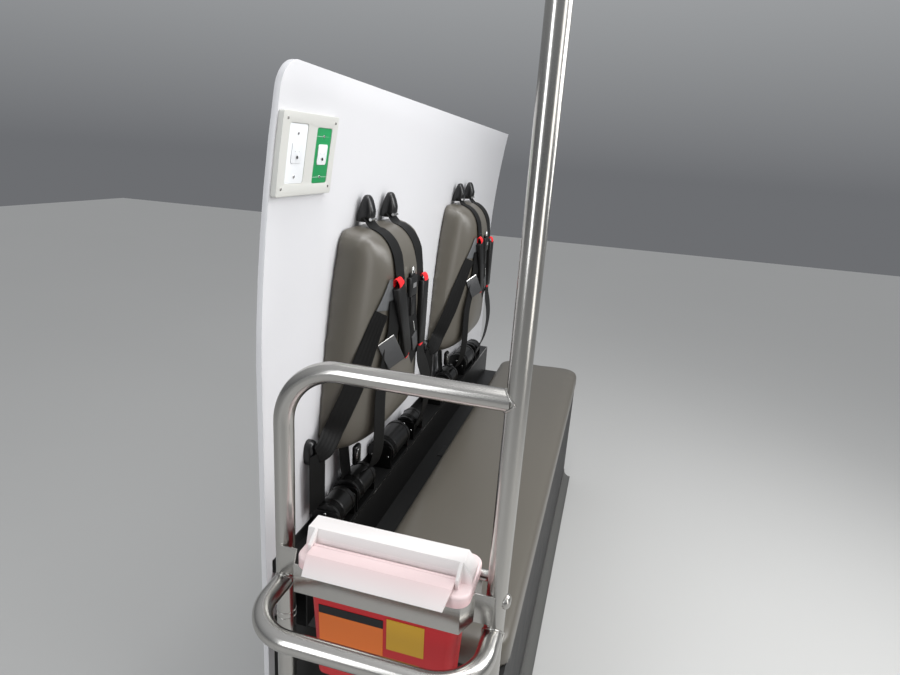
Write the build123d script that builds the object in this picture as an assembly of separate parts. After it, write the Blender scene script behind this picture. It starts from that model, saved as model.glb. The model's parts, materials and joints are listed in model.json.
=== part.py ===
from build123d import *
import math
import os

# Squad bench station of a van ambulance: wall panel, two harness seats, a bench
# with a hinged lid over a storage hollow, and the stainless guard rail at its
# head end with a holder for a sharps container.
# Millimetres. The origin is the centre of the stanchion's floor flange at floor
# level, +X towards the aisle, +Y along the bench, +Z up.

# Guard rail and stanchion
TUBE_R = 15.875
RAIL_SPAN = 355.0
RAIL_Z = 940.0
RAIL_BEND_R = 95.0
STANCHION_Z = 1880.0
COPE_DEPTH = 8.0
HOOP_Z = 560.0
HOOP_DEPTH = 125.0
HOOP_BEND_R = 75.0
FLANGE_R = 45.0
FLANGE_T = 6.0
FLANGE_BOLT_PCD = 66.0
FLANGE_BOLT_R = 3.5
FLANGE_BOLTS = 4
COLLAR_WALL = 4.0
COLLAR_Z = 24.0
COLLAR_GAP = 0.2
CAP_R = 12.0
CAP_H = 6.0
CAP_Z = 619.0

# Head-end stand-offs between the rail and the bench base
STANDOFF_R = 8.0
STANDOFF_PAD_R = 16.0
STANDOFF_PAD_T = 4.0
STANDOFF_Z = (240.0, 370.0)

# Holder for the sharps container
BAND_LOW = 583.0
BAND_HIGH = 634.0
BAND_T = 2.5
BAND_EAR_Y = -TUBE_R
BAND_SLANT = 14.0
# From the container's sides to the band's front corners
BAND_LEFT_GAP = 17.0
BAND_RIGHT_GAP = 0.0
BAND_FRONT_Y = -52.0
BAR_R = 9.5
BAR_Y = 40.0
BAR_BEND_R = 25.0
BAR_END_X = -325.0
HANGER_T = 2.5
HANGER_H = 60.0
HANGER_X = (-295.0, -30.0)

# Sharps container
BIN_SHIFT = 8.5
BIN_X = BIN_SHIFT - RAIL_SPAN / 2
BIN_TOP_W = 248.0
BIN_TOP_Y = (-45.0, 25.5)
BIN_BOTTOM_Z = 417.0
BIN_DRAFT_X = 2.5
BIN_DRAFT_FRONT = 3.5
BIN_DRAFT_BACK = 1.5
BIN_CORNER_R = 16.0
BIN_WALL = 2.5
BIN_SEAT_GAP = 0.3
RIM_X = (-307.0, -32.0)
RIM_Y = (-60.0, 50.0)
RIM_H = 18.7
RIM_CORNER_R = 22.0
RIM_EDGE_R = 4.0
HOOD_X = (-303.0, -66.0)
HOOD_Y = (-19.0, 14.0)
HOOD_LEAN = 8.0
HOOD_H = 30.0
HOOD_WALL = 2.5
HOOD_MOUTH_H = 14.0
RIDGE_W = 31.0
RIDGE_FOOT_H = 10.5

# Flap that tips a used sharp into the container
TRAY_AXIS_Y = -33.0
TRAY_AXIS_RISE = 9.0
TRAY_BARREL_R = 3.2
TRAY_PIN_R = 1.6
TRAY_PIN_GAP = 0.15
TRAY_PIN_L = 7.0
TRAY_T = 2.4
TRAY_BEND_Y = -57.0
TRAY_TIP_Y = -81.0
TRAY_TIP_DROP = 21.0
TRAY_X = (-286.0, -57.0)
TRAY_TIP_X = (-281.0, -65.0)
TRAY_GAP = 0.5
CHEEK_W = 5.0
CHEEK_FRONT_Y = -43.0
CHEEK_FRONT_H = 15.0

# Blank plates on the container's front: (name, low x, high x, low z, high z)
LABEL_T = 0.8
LABELS = [
    ("label_orange", -274.0, -165.0, 460.0, 546.0),
    ("label_header", -274.0, -165.0, 546.5, 562.0),
    ("label_yellow", -159.0, -98.0, 508.0, 568.0),
]

# Wall panel: upright to the lean's start, then curving towards the aisle
WALL_X = -418.0
WALL_T = 10.0
WALL_LEAN_Z = 840.0
WALL_LEAN_R = 2870.0
WALL_Y = (40.0, 1757.0)
WALL_TOP_NEAR = 1370.0
WALL_TOP_FAR = 1336.0
WALL_CORNER_R = 40.0
# How far the cutting shapes reach past the panel, behind and in front of its foot
BEHIND_WALL = 60.0
BEFORE_WALL = 200.0
PAST_WALL_TOP = 600.0

# Power outlet box on the wall panel
OUTLET_Y = (43.0, 219.0)
OUTLET_Z = (1177.0, 1300.0)
OUTLET_PROUD = 9.0
OUTLET_POCKET = 3.0
OUTLET_CORNER_R = 4.0
PLATE_T = 2.0
PLATE_GAP = 0.3
PLATE_WHITE_Y = (64.5, 119.5)
PLATE_WHITE_Z = (1196.0, 1284.0)
PLATE_GREEN_Y = (149.0, 200.0)
PLATE_GREEN_Z = (1194.5, 1281.0)
SOCKET_W = 31.0
SOCKET_H = 32.0
SOCKET_T = 1.5
SOCKET_RISE = 2.0

# Bench base: an open-topped box of boards
BOARD_T = 12.0
BASE_Y = (60.0, 1565.0)
BASE_FRONT_X = 17.0
BASE_TOP_Z = 407.7
DECK_EDGE_X = -300.0
KICK_W = 28.0
KICK_H = 32.0
KICK_T = 3.0
BASE_BOLT_R = 5.0
BASE_BOLT_INSET = 70.0

# Lid, cushion and hinges
LID_GAP = 0.3
LID_T = 12.0
LID_AXIS_X = -289.0
LID_AXIS_Z = 414.0
LID_EDGE_GAP = 6.0
KNUCKLE_R = 4.0
HINGE_PIN_R = 1.8
HINGE_PIN_GAP = 0.1
HINGE_LEAF_T = 2.0
HINGE_LEAF_W = 26.0
KNUCKLE_L = 22.0
KNUCKLE_GAP = 0.4
HINGE_Y = (260.0, 812.5, 1365.0)
CUSHION_X = (-286.0, 25.0)
CUSHION_Y = (55.0, 1570.0)
CUSHION_H = 49.7
CUSHION_CORNER_R = 50.0
CUSHION_EDGE_R = 12.0

# Belt rail: folded sheet between the wall and the lid
RAIL_SHEET_T = 3.0
RAIL_DECK_Z = 510.0
RAIL_FLANGE_Z = 533.0
RAIL_FACE_X = -348.0
RAIL_FLOOR_X = -296.0

# Seats: centre of each along the bench
SEAT_Y = (436.0, 1150.0)
SEAT_BOARD_T = 9.0
SEAT_BOARD_W = 280.0
SEAT_BOARD_Z = (690.0, 1085.0)
SEAT_BOARD_CORNER_R = 60.0
PAD_TOP_W = 290.0
PAD_FOOT_W = 434.0
PAD_FRONT_W = 190.0
PAD_FRONT_X = -314.0
PAD_SIDE_R = 36.0
PAD_LOW_Z = 653.0
PAD_BELLY_X = -334.0
PAD_BELLY_Z = 683.0
PAD_FACE_LOW_Z = 740.0
PAD_TOP_Z = 1108.0
PAD_TOP_R = 70.0
PAD_TOP_CORNER_R = 34.0
PAD_LOW_CORNER_R = 50.0
PAD_GAP = 0.3

# Belt retractors on the rail deck: (offset along the bench, length, radius)
RETRACTOR_X = -381.0
RETRACTORS = [
    (-200.0, 78.0, 29.0),
    (-100.0, 92.0, 31.0),
    (112.0, 120.0, 33.0),
    (258.0, 70.0, 27.0),
]
BRACKET_T = 3.0
BRACKET_W = 56.0
BRACKET_CLEAR = 4.0
BRACKET_CORNER_R = 8.0
# Height of a bracket's cheek over the spool's axis, as a share of its radius
CHEEK_RISE = 0.6

# Harness
WEB_W = 47.0
WEB_T = 1.6
WEB_GAP = 0.3
SHOULDER_OFFSET = 62.0
GUIDE_Z = 1140.0
GUIDE_W = 32.0
GUIDE_H = 52.0
GUIDE_PROUD = 36.0
GUIDE_BAR_R = 2.0
GUIDE_BAR_IN = 10.0
GUIDE_CORNER_R = 14.0
# Side outline of a guide: shares of its depth from the wall and of its height
GUIDE_OUTLINE = [(0.75, -0.5), (1.0, -0.17), (0.6, 0.33), (0.2, 0.5)]
WEB_END_FROM_WALL = 16.0
SLEEVE_W = 44.0
SLEEVE_T = 15.0
# Each buckle sleeve: (top offset, top z, bottom offset, bottom z)
SLEEVES = [
    (-81.0, 1000.0, -18.0, 838.0),
    (80.0, 982.0, 77.0, 836.0),
]
LOOP_W = 26.0
LOOP_H = 15.0
BUTTON_W = 24.0
BUTTON_H = 8.0
RELEASE_T = 9.0
TONGUE_W = 22.0
TONGUE_H = 34.0
TONGUE_T = 3.0
TONGUE_Z = 1000.0
TONGUE_CORNER_R = 5.0
LOWER_GUIDE_OFFSET = -246.0
LOWER_GUIDE_Z = 688.0
LOWER_GUIDE_W = 32.0
LOWER_GUIDE_H = 52.0
LOWER_GUIDE_T = 16.0
# On the pad's head-end side: (distance from the wall edge along the side, z, clearance)
LAP_SIDE_LOW = (40.0, 728.0, 6.0)
LAP_SIDE_HIGH = (138.0, 955.0, 1.3)
LAP_GUIDE_OUT = 6.0
FLAP_TOP = (141.0, 890.0)
FLAP_FOOT = (169.0, 836.0)
FLAP_W = 40.0
FLAP_T = 3.0
FLAP_OUT = 5.65
# Foot-end belt, hanging slack: (x, offset along the bench, z)
HANGING_BELT = [
    (-304.0, 77.0, 827.2),
    (-303.0, 77.5, 800.0),
    (-304.0, 126.0, 755.0),
    (-311.0, 176.0, 690.0),
    (-328.0, 222.0, 612.0),
    (-348.5, 246.0, 560.0),
]


def along_x(shape, low, high):
    """Extrudes a sketch drawn in (y, z) from x = low to x = high."""
    return extrude(Plane(origin=(low, 0, 0), x_dir=(0, 1, 0), z_dir=(1, 0, 0)) * shape, high - low)


def along_y(shape, low, high):
    """Extrudes a sketch drawn in (x, z) from y = low to y = high."""
    return extrude(Plane(origin=(0, high, 0), x_dir=(1, 0, 0), z_dir=(0, -1, 0)) * shape, high - low)


def along_z(shape, low, high):
    """Extrudes a sketch drawn in (x, y) from z = low to z = high."""
    return extrude(Plane(origin=(0, 0, low)) * shape, high - low)


def block(x, y, z):
    """A box from three (low, high) pairs."""
    size = (x[1] - x[0], y[1] - y[0], z[1] - z[0])
    centre = ((x[0] + x[1]) / 2, (y[0] + y[1]) / 2, (z[0] + z[1]) / 2)
    return Pos(*centre) * Box(*size)


def window(u, v, radius=0.0):
    """A rectangle from two (low, high) pairs, its corners rounded."""
    width = u[1] - u[0]
    height = v[1] - v[0]
    face = RectangleRounded(width, height, radius) if radius else Rectangle(width, height)
    return Pos((u[0] + u[1]) / 2, (v[0] + v[1]) / 2) * face


def rod(start, end, radius):
    """A round bar from one point to another."""
    axis = Vector(*end) - Vector(*start)
    return extrude(Plane(origin=start, z_dir=axis) * Circle(radius), axis.length)


def bent_rod(points, bend_radius, radius):
    """A round bar along straight runs joined by equal bends."""
    path = FilletPolyline(*points, radius=bend_radius)
    return sweep(Plane(origin=path @ 0, z_dir=path % 0) * Circle(radius), path=path)


def plank(start, end, across, width, thickness):
    """A flat strip from start to end, its width lying along the direction across."""
    axis = Vector(*end) - Vector(*start)
    section = Plane(origin=start, x_dir=square_to(across, axis), z_dir=axis)
    return extrude(section * Rectangle(width, thickness), axis.length)


def square_to(direction, axis):
    """The part of a direction that is square to an axis."""
    unit = axis.normalized()
    across = Vector(*direction)
    return across - unit * across.dot(unit)


def wall_at(z, offset=0.0):
    """The x of a point on the wall panel's face, or in front of it by offset."""
    rise = max(z - WALL_LEAN_Z, 0.0)
    radius = WALL_LEAN_R - offset
    return WALL_X + WALL_LEAN_R - math.sqrt(radius**2 - rise**2)


def before_wall(offset):
    """Everything in front of the wall face moved out by offset, as a sketch in (x, z)."""
    rise = PAST_WALL_TOP
    low = (WALL_X + offset, -1)
    turn = (WALL_X + offset, WALL_LEAN_Z)
    top = (wall_at(WALL_LEAN_Z + rise, offset), WALL_LEAN_Z + rise)
    middle = (wall_at(WALL_LEAN_Z + rise / 2, offset), WALL_LEAN_Z + rise / 2)
    far_x = WALL_X + BEFORE_WALL
    edges = [
        Line(low, turn),
        ThreePointArc(turn, middle, top),
        Line(top, (far_x, top[1])),
        Line((far_x, top[1]), (far_x, low[1])),
        Line((far_x, low[1]), low),
    ]
    return make_face(edges)


def wall_slab(near, far, y, z, corner=0.0):
    """A plate that follows the wall face between two offsets, cut to a window in (y, z)."""
    slab = along_y(before_wall(near) - before_wall(far), y[0] - 1, y[1] + 1)
    return slab & along_x(window(y, z, corner), WALL_X - BEHIND_WALL, WALL_X + BEFORE_WALL)


def wall_panel():
    top_near = (WALL_Y[0], WALL_TOP_NEAR)
    top_far = (WALL_Y[1], WALL_TOP_FAR)
    outline = make_face(Polyline((WALL_Y[0], 0), top_near, top_far, (WALL_Y[1], 0), close=True))
    corner = outline.vertices().sort_by(Axis.Y)[-1]
    outline = fillet(corner, WALL_CORNER_R)
    slab = along_y(before_wall(-WALL_T) - before_wall(0), WALL_Y[0] - 1, WALL_Y[1] + 1)
    return slab & along_x(outline, WALL_X - BEHIND_WALL, WALL_X + BEFORE_WALL)


def outlet():
    """The outlet box with a pocket for each plate, the plates and their sockets."""
    front = OUTLET_PROUD
    floor = OUTLET_PROUD - OUTLET_POCKET
    box = wall_slab(0, front, OUTLET_Y, OUTLET_Z, OUTLET_CORNER_R)
    sockets = []
    plates = []
    for y, z in ((PLATE_WHITE_Y, PLATE_WHITE_Z), (PLATE_GREEN_Y, PLATE_GREEN_Z)):
        box -= wall_slab(floor, front + 1, y, z, OUTLET_CORNER_R)
        inner_y = (y[0] + PLATE_GAP, y[1] - PLATE_GAP)
        inner_z = (z[0] + PLATE_GAP, z[1] - PLATE_GAP)
        plates.append(wall_slab(floor, floor + PLATE_T, inner_y, inner_z, OUTLET_CORNER_R))
        middle = (y[0] + y[1]) / 2
        centre = (z[0] + z[1]) / 2 + SOCKET_RISE
        socket_y = (middle - SOCKET_W / 2, middle + SOCKET_W / 2)
        socket_z = (centre - SOCKET_H / 2, centre + SOCKET_H / 2)
        depth = floor + PLATE_T
        sockets.append(wall_slab(depth, depth + SOCKET_T, socket_y, socket_z, OUTLET_CORNER_R))
    return {
        "outlet_box": box,
        "outlet_plate_white": plates[0],
        "outlet_plate_green": plates[1],
        "outlet_sockets": Compound(children=sockets),
    }


def bench_base():
    inner_x = (WALL_X + BOARD_T, BASE_FRONT_X - BOARD_T)
    inner_y = (BASE_Y[0] + BOARD_T, BASE_Y[1] - BOARD_T)
    height = (0, BASE_TOP_Z)
    floor = block(inner_x, inner_y, (0, BOARD_T))
    for x in (inner_x[0] + BASE_BOLT_INSET, inner_x[1] - BASE_BOLT_INSET):
        for y in (inner_y[0] + BASE_BOLT_INSET, inner_y[1] - BASE_BOLT_INSET):
            floor -= rod((x, y, -1), (x, y, BOARD_T + 1), BASE_BOLT_R)
    deck_z = (BASE_TOP_Z - BOARD_T, BASE_TOP_Z)
    return {
        "base_floor_board": floor,
        "base_front_panel": block((inner_x[1], BASE_FRONT_X), BASE_Y, height),
        "base_back_panel": block((WALL_X, inner_x[0]), BASE_Y, height),
        "base_head_end": block(inner_x, (BASE_Y[0], inner_y[0]), height),
        "base_foot_end": block(inner_x, (inner_y[1], BASE_Y[1]), height),
        "base_top_deck": block((inner_x[0], DECK_EDGE_X), inner_y, deck_z),
        "kick_strip": kick_strip(),
    }


def kick_strip():
    """A coved floor strip: upright against the front panel, its toe on the floor."""
    x = BASE_FRONT_X
    sweep_r = KICK_W - KICK_T
    corner = (x + KICK_T + sweep_r, KICK_T + sweep_r)
    middle = (corner[0] - sweep_r * math.cos(math.pi / 4), corner[1] - sweep_r * math.sin(math.pi / 4))
    top = KICK_T + sweep_r
    edges = [
        Line((x, 0), (x + KICK_W, 0)),
        Line((x + KICK_W, 0), (x + KICK_W, KICK_T)),
        ThreePointArc((x + KICK_W, KICK_T), middle, (x + KICK_T, top)),
        Line((x + KICK_T, top), (x + KICK_T, KICK_H)),
        Line((x + KICK_T, KICK_H), (x, KICK_H)),
        Line((x, KICK_H), (x, 0)),
    ]
    return along_y(make_face(edges), *BASE_Y)


def belt_rail():
    """Folded sheet: wall flange, deck, face and trough floor in one piece."""
    t = RAIL_SHEET_T
    floor_z = BASE_TOP_Z
    outline = Polyline(
        (WALL_X, RAIL_DECK_Z - t),
        (RAIL_FACE_X - t, RAIL_DECK_Z - t),
        (RAIL_FACE_X - t, floor_z),
        (RAIL_FLOOR_X, floor_z),
        (RAIL_FLOOR_X, floor_z + t),
        (RAIL_FACE_X, floor_z + t),
        (RAIL_FACE_X, RAIL_DECK_Z),
        (WALL_X + t, RAIL_DECK_Z),
        (WALL_X + t, RAIL_FLANGE_Z),
        (WALL_X, RAIL_FLANGE_Z),
        close=True,
    )
    return along_y(make_face(outline), *BASE_Y)


def lid():
    board_x = (LID_AXIS_X + LID_EDGE_GAP, BASE_FRONT_X)
    board_z = (BASE_TOP_Z + LID_GAP, BASE_TOP_Z + LID_GAP + LID_T)
    cushion_z = (board_z[1] + LID_GAP, board_z[1] + LID_GAP + CUSHION_H)
    cushion = along_z(window(CUSHION_X, CUSHION_Y, CUSHION_CORNER_R), *cushion_z)
    cushion = fillet(cushion.edges().group_by(Axis.Z)[-1], CUSHION_EDGE_R)
    return {
        "lid_board": block(board_x, BASE_Y, board_z),
        "bench_cushion": cushion,
    }


def on_lid_axis(low, high, radius):
    """A round bar on the lid's hinge axis."""
    return rod((LID_AXIS_X, low, LID_AXIS_Z), (LID_AXIS_X, high, LID_AXIS_Z), radius)


def lid_hinges():
    """Three butt hinges: two outer knuckles and a pin stay, one knuckle turns."""
    leaf_z = BASE_TOP_Z + RAIL_SHEET_T
    edge_x = LID_AXIS_X + LID_EDGE_GAP
    span = 3 * KNUCKLE_L + 2 * KNUCKLE_GAP
    fixed = []
    moving = []
    for y in HINGE_Y:
        low = y - span / 2
        inner = low + KNUCKLE_L + KNUCKLE_GAP
        outer = inner + KNUCKLE_L + KNUCKLE_GAP
        leaf_x = (LID_AXIS_X - KNUCKLE_R / 2 - HINGE_LEAF_W, LID_AXIS_X - KNUCKLE_R / 2)
        leaf = block(leaf_x, (low, low + span), (leaf_z, leaf_z + HINGE_LEAF_T))
        leaf -= block(
            (LID_AXIS_X - KNUCKLE_R - 1, LID_AXIS_X),
            (inner - KNUCKLE_GAP, outer),
            (leaf_z - 1, leaf_z + HINGE_LEAF_T + 1),
        )
        leaf += on_lid_axis(low, low + KNUCKLE_L, KNUCKLE_R)
        leaf += on_lid_axis(outer, low + span, KNUCKLE_R)
        fixed.append(leaf + on_lid_axis(low, low + span, HINGE_PIN_R))
        tongue = block(
            (LID_AXIS_X + KNUCKLE_R / 2, edge_x),
            (inner, inner + KNUCKLE_L),
            (BASE_TOP_Z + LID_GAP + 1, BASE_TOP_Z + LID_GAP + LID_T),
        )
        tongue += on_lid_axis(inner, inner + KNUCKLE_L, KNUCKLE_R)
        bore = on_lid_axis(inner - 1, inner + KNUCKLE_L + 1, HINGE_PIN_R + HINGE_PIN_GAP)
        moving.append(tongue - bore)
    return {
        "lid_hinge_fixed": Compound(children=fixed),
        "lid_hinge_moving": Compound(children=moving),
    }


def pad_profile(extra=0.0):
    """Side outline of a backrest pad in (x, z), grown by extra on its free sides."""
    front = PAD_FRONT_X
    behind = WALL_X - BEHIND_WALL
    edges = [
        Line((behind, PAD_LOW_Z), (WALL_X + SEAT_BOARD_T, PAD_LOW_Z)),
        ThreePointArc(
            (WALL_X + SEAT_BOARD_T, PAD_LOW_Z), (PAD_BELLY_X, PAD_BELLY_Z), (front, PAD_FACE_LOW_Z)
        ),
        Line((front, PAD_FACE_LOW_Z), (front, PAD_TOP_Z - PAD_TOP_R)),
        CenterArc((front - PAD_TOP_R, PAD_TOP_Z - PAD_TOP_R), PAD_TOP_R, 0, 90),
        Line((front - PAD_TOP_R, PAD_TOP_Z), (behind, PAD_TOP_Z)),
        Line((behind, PAD_TOP_Z), (behind, PAD_LOW_Z)),
    ]
    face = make_face(edges)
    return offset(face, extra) if extra else face


def backrest(seat_y):
    """A pad with slanted sides: its side, plan and front outlines crossed."""
    half_top = PAD_TOP_W / 2
    half_foot = PAD_FOOT_W / 2
    half_front = PAD_FRONT_W / 2
    back_x = WALL_X + SEAT_BOARD_T
    plan = make_face(
        Polyline(
            (back_x - BEHIND_WALL, seat_y - half_foot),
            (back_x, seat_y - half_foot),
            (PAD_FRONT_X, seat_y - half_front),
            (PAD_FRONT_X, seat_y + half_front),
            (back_x, seat_y + half_foot),
            (back_x - BEHIND_WALL, seat_y + half_foot),
            close=True,
        )
    )
    plan = fillet(plan.vertices().group_by(Axis.X)[-1], PAD_SIDE_R)
    span = (seat_y - half_foot, seat_y + half_foot)
    front = make_face(
        Polyline(
            (seat_y - half_foot, PAD_LOW_Z),
            (seat_y + half_foot, PAD_LOW_Z),
            (seat_y + half_top, PAD_TOP_Z),
            (seat_y - half_top, PAD_TOP_Z),
            close=True,
        )
    )
    front = fillet(front.vertices().group_by(Axis.Y)[-1], PAD_TOP_CORNER_R)
    front = fillet(front.vertices().group_by(Axis.Y)[0], PAD_LOW_CORNER_R)
    pad = along_y(pad_profile(), *span) & along_z(plan, PAD_LOW_Z - 1, PAD_TOP_Z + 1)
    pad = pad & along_x(front, WALL_X - BEHIND_WALL, PAD_FRONT_X + 1)
    return pad & along_y(before_wall(SEAT_BOARD_T + PAD_GAP), *span)


def backrests():
    boards = []
    half = SEAT_BOARD_W / 2
    for y in SEAT_Y:
        span = (y - half, y + half)
        boards.append(wall_slab(0, SEAT_BOARD_T, span, SEAT_BOARD_Z, SEAT_BOARD_CORNER_R))
    return {
        "backrest_boards": Compound(children=boards),
        "backrest_pad_near": backrest(SEAT_Y[0]),
        "backrest_pad_far": backrest(SEAT_Y[1]),
    }


def retractors():
    """Spools on the rail deck, each held by a folded bracket with two cheeks."""
    spools = []
    brackets = []
    for seat_y in SEAT_Y:
        for shift, length, radius in RETRACTORS:
            low = seat_y + shift - length / 2
            high = low + length
            axis_z = RAIL_DECK_Z + BRACKET_T + BRACKET_CLEAR + radius
            spools.append(rod((RETRACTOR_X, low, axis_z), (RETRACTOR_X, high, axis_z), radius))
            foot_x = (RETRACTOR_X - BRACKET_W / 2, RETRACTOR_X + BRACKET_W / 2)
            foot = block(foot_x, (low, high), (RAIL_DECK_Z, RAIL_DECK_Z + BRACKET_T))
            cheek_z = (RAIL_DECK_Z, axis_z + radius * CHEEK_RISE)
            cheek_shape = window(foot_x, cheek_z, BRACKET_CORNER_R)
            near = along_y(cheek_shape, low - BRACKET_T, low)
            far = along_y(cheek_shape, high, high + BRACKET_T)
            brackets.append(foot + near + far)
    return {
        "retractor_spools": Compound(children=spools),
        "retractor_brackets": Compound(children=brackets),
    }


def shoulder_guide(y):
    """A wedge-shaped guide on the wall over a pad."""
    face = wall_at(GUIDE_Z)
    span_y = (y - GUIDE_W / 2, y + GUIDE_W / 2)
    points = [(face + GUIDE_PROUD * out, GUIDE_Z + GUIDE_H * rise) for out, rise in GUIDE_OUTLINE]
    behind = face - BEHIND_WALL
    points = [(behind, GUIDE_Z - GUIDE_H / 2), *points, (behind, GUIDE_Z + GUIDE_H / 2)]
    shell = along_y(make_face(Polyline(*points, close=True)), *span_y)
    front = window(span_y, (GUIDE_Z - GUIDE_H / 2, GUIDE_Z + GUIDE_H / 2))
    front = fillet(front.vertices().group_by(Axis.Y)[-1], GUIDE_CORNER_R)
    shell = shell & along_x(front, behind, face + GUIDE_PROUD + 1)
    return shell & along_y(before_wall(0), *span_y)


def shoulder_harness():
    """Upper guides, their slot bars and the webs that come over the pads."""
    guides = []
    bars = []
    webs = []
    bar_z = GUIDE_Z - GUIDE_H / 2 - GUIDE_BAR_R
    bar_x = wall_at(GUIDE_Z) + GUIDE_PROUD - GUIDE_BAR_IN
    web_shape = pad_profile(WEB_GAP + WEB_T) - pad_profile(WEB_GAP)
    clip_x = (wall_at(PAD_TOP_Z) + WEB_END_FROM_WALL, 0)
    clip_z = (SLEEVES[0][3], GUIDE_Z)
    for seat_y in SEAT_Y:
        for side in (-1, 1):
            y = seat_y + side * SHOULDER_OFFSET
            guides.append(shoulder_guide(y))
            bar_ends = (y - GUIDE_W / 2, y + GUIDE_W / 2)
            bars.append(rod((bar_x, bar_ends[0], bar_z), (bar_x, bar_ends[1], bar_z), GUIDE_BAR_R))
            web_y = (y - WEB_W / 2, y + WEB_W / 2)
            webs.append(along_y(web_shape, *web_y) & block(clip_x, web_y, clip_z))
    return {
        "shoulder_guides": Compound(children=guides),
        "guide_bars": Compound(children=bars),
        "shoulder_webbing": Compound(children=webs),
    }


def buckles():
    """Two long buckle sleeves a seat, their red loops and buttons, and a latch tongue."""
    sleeves = []
    loops = []
    buttons = []
    tongues = []
    web_front = PAD_FRONT_X + WEB_GAP + WEB_T
    x = web_front + WEB_GAP + SLEEVE_T / 2
    across = (0, 1, 0)
    for seat_y in SEAT_Y:
        for top_shift, top_z, low_shift, low_z in SLEEVES:
            top = (x, seat_y + top_shift, top_z)
            low = (x, seat_y + low_shift, low_z)
            up = (Vector(*top) - Vector(*low)).normalized()
            sleeves.append(plank(low, top, across, SLEEVE_W, SLEEVE_T))
            loop_end = Vector(*top) + up * LOOP_H
            loops.append(plank(top, tuple(loop_end), across, LOOP_W, RELEASE_T))
            button_end = Vector(*low) - up * BUTTON_H
            buttons.append(plank(tuple(button_end), low, across, BUTTON_W, RELEASE_T))
        tongue_x = PAD_FRONT_X + WEB_GAP
        tongue_y = (seat_y - TONGUE_W / 2, seat_y + TONGUE_W / 2)
        tongue_z = (TONGUE_Z - TONGUE_H / 2, TONGUE_Z + TONGUE_H / 2)
        tongue = window(tongue_y, tongue_z, TONGUE_CORNER_R)
        tongues.append(along_x(tongue, tongue_x, tongue_x + TONGUE_T))
    return {
        "buckle_sleeves": Compound(children=sleeves),
        "release_loops": Compound(children=loops),
        "release_buttons": Compound(children=buttons),
        "latch_tongues": Compound(children=tongues),
    }


def pad_side_point(seat_y, distance, z, out):
    """A point on the pad's head-end side, standing out from its face by out."""
    back = Vector(WALL_X + SEAT_BOARD_T, seat_y - PAD_FOOT_W / 2, 0)
    front = Vector(PAD_FRONT_X, seat_y - PAD_FRONT_W / 2, 0)
    along = (front - back).normalized()
    normal = Vector(along.Y, -along.X, 0)
    point = back + along * distance + normal * out
    return (point.X, point.Y, z)


def strap(points, across):
    """Flat webbing along straight runs, each as wide as the belt."""
    runs = [plank(a, b, across, WEB_W, WEB_T) for a, b in zip(points, points[1:])]
    whole = runs[0]
    for run in runs[1:]:
        whole += run
    return whole


def lap_harness():
    """Lower guides on the wall, the lap webs, the adjuster flaps and the slack belts."""
    guides = []
    laps = []
    flaps = []
    slack = []
    front = WALL_X + LOWER_GUIDE_T
    spool_z = RAIL_DECK_Z + BRACKET_T + BRACKET_CLEAR + 2 * RETRACTORS[0][2]
    for seat_y in SEAT_Y:
        y = seat_y + LOWER_GUIDE_OFFSET
        span_y = (y - LOWER_GUIDE_W / 2, y + LOWER_GUIDE_W / 2)
        span_z = (LOWER_GUIDE_Z - LOWER_GUIDE_H / 2, LOWER_GUIDE_Z + LOWER_GUIDE_H / 2)
        radius = LOWER_GUIDE_W / 2 - 1
        guides.append(along_x(window(span_y, span_z, radius), WALL_X, front))
        at_guide = (front + LAP_GUIDE_OUT, y, LOWER_GUIDE_Z)
        low = pad_side_point(seat_y, *LAP_SIDE_LOW)
        high = pad_side_point(seat_y, *LAP_SIDE_HIGH)
        side = Vector(*high) - Vector(*pad_side_point(seat_y, 0, LAP_SIDE_HIGH[1], LAP_SIDE_HIGH[2]))
        upper = plank(low, high, tuple(side), WEB_W, WEB_T)
        lower = plank(at_guide, low, (0, 0, 1), WEB_W, WEB_T)
        down = plank((at_guide[0], y, spool_z), at_guide, (0, 1, 0), WEB_W, WEB_T)
        laps.append(upper + lower + down)
        flap_top = pad_side_point(seat_y, *FLAP_TOP, FLAP_OUT)
        flap_foot = pad_side_point(seat_y, *FLAP_FOOT, FLAP_OUT)
        flaps.append(plank(flap_foot, flap_top, tuple(side), FLAP_W, FLAP_T))
        points = [(x, seat_y + shift, z) for x, shift, z in HANGING_BELT]
        slack.append(strap(points, (0, 1, 0)))
    return {
        "lower_guides": Compound(children=guides),
        "lap_webbing": Compound(children=laps),
        "adjuster_flaps": Compound(children=flaps),
        "slack_webbing": Compound(children=slack),
    }


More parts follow.
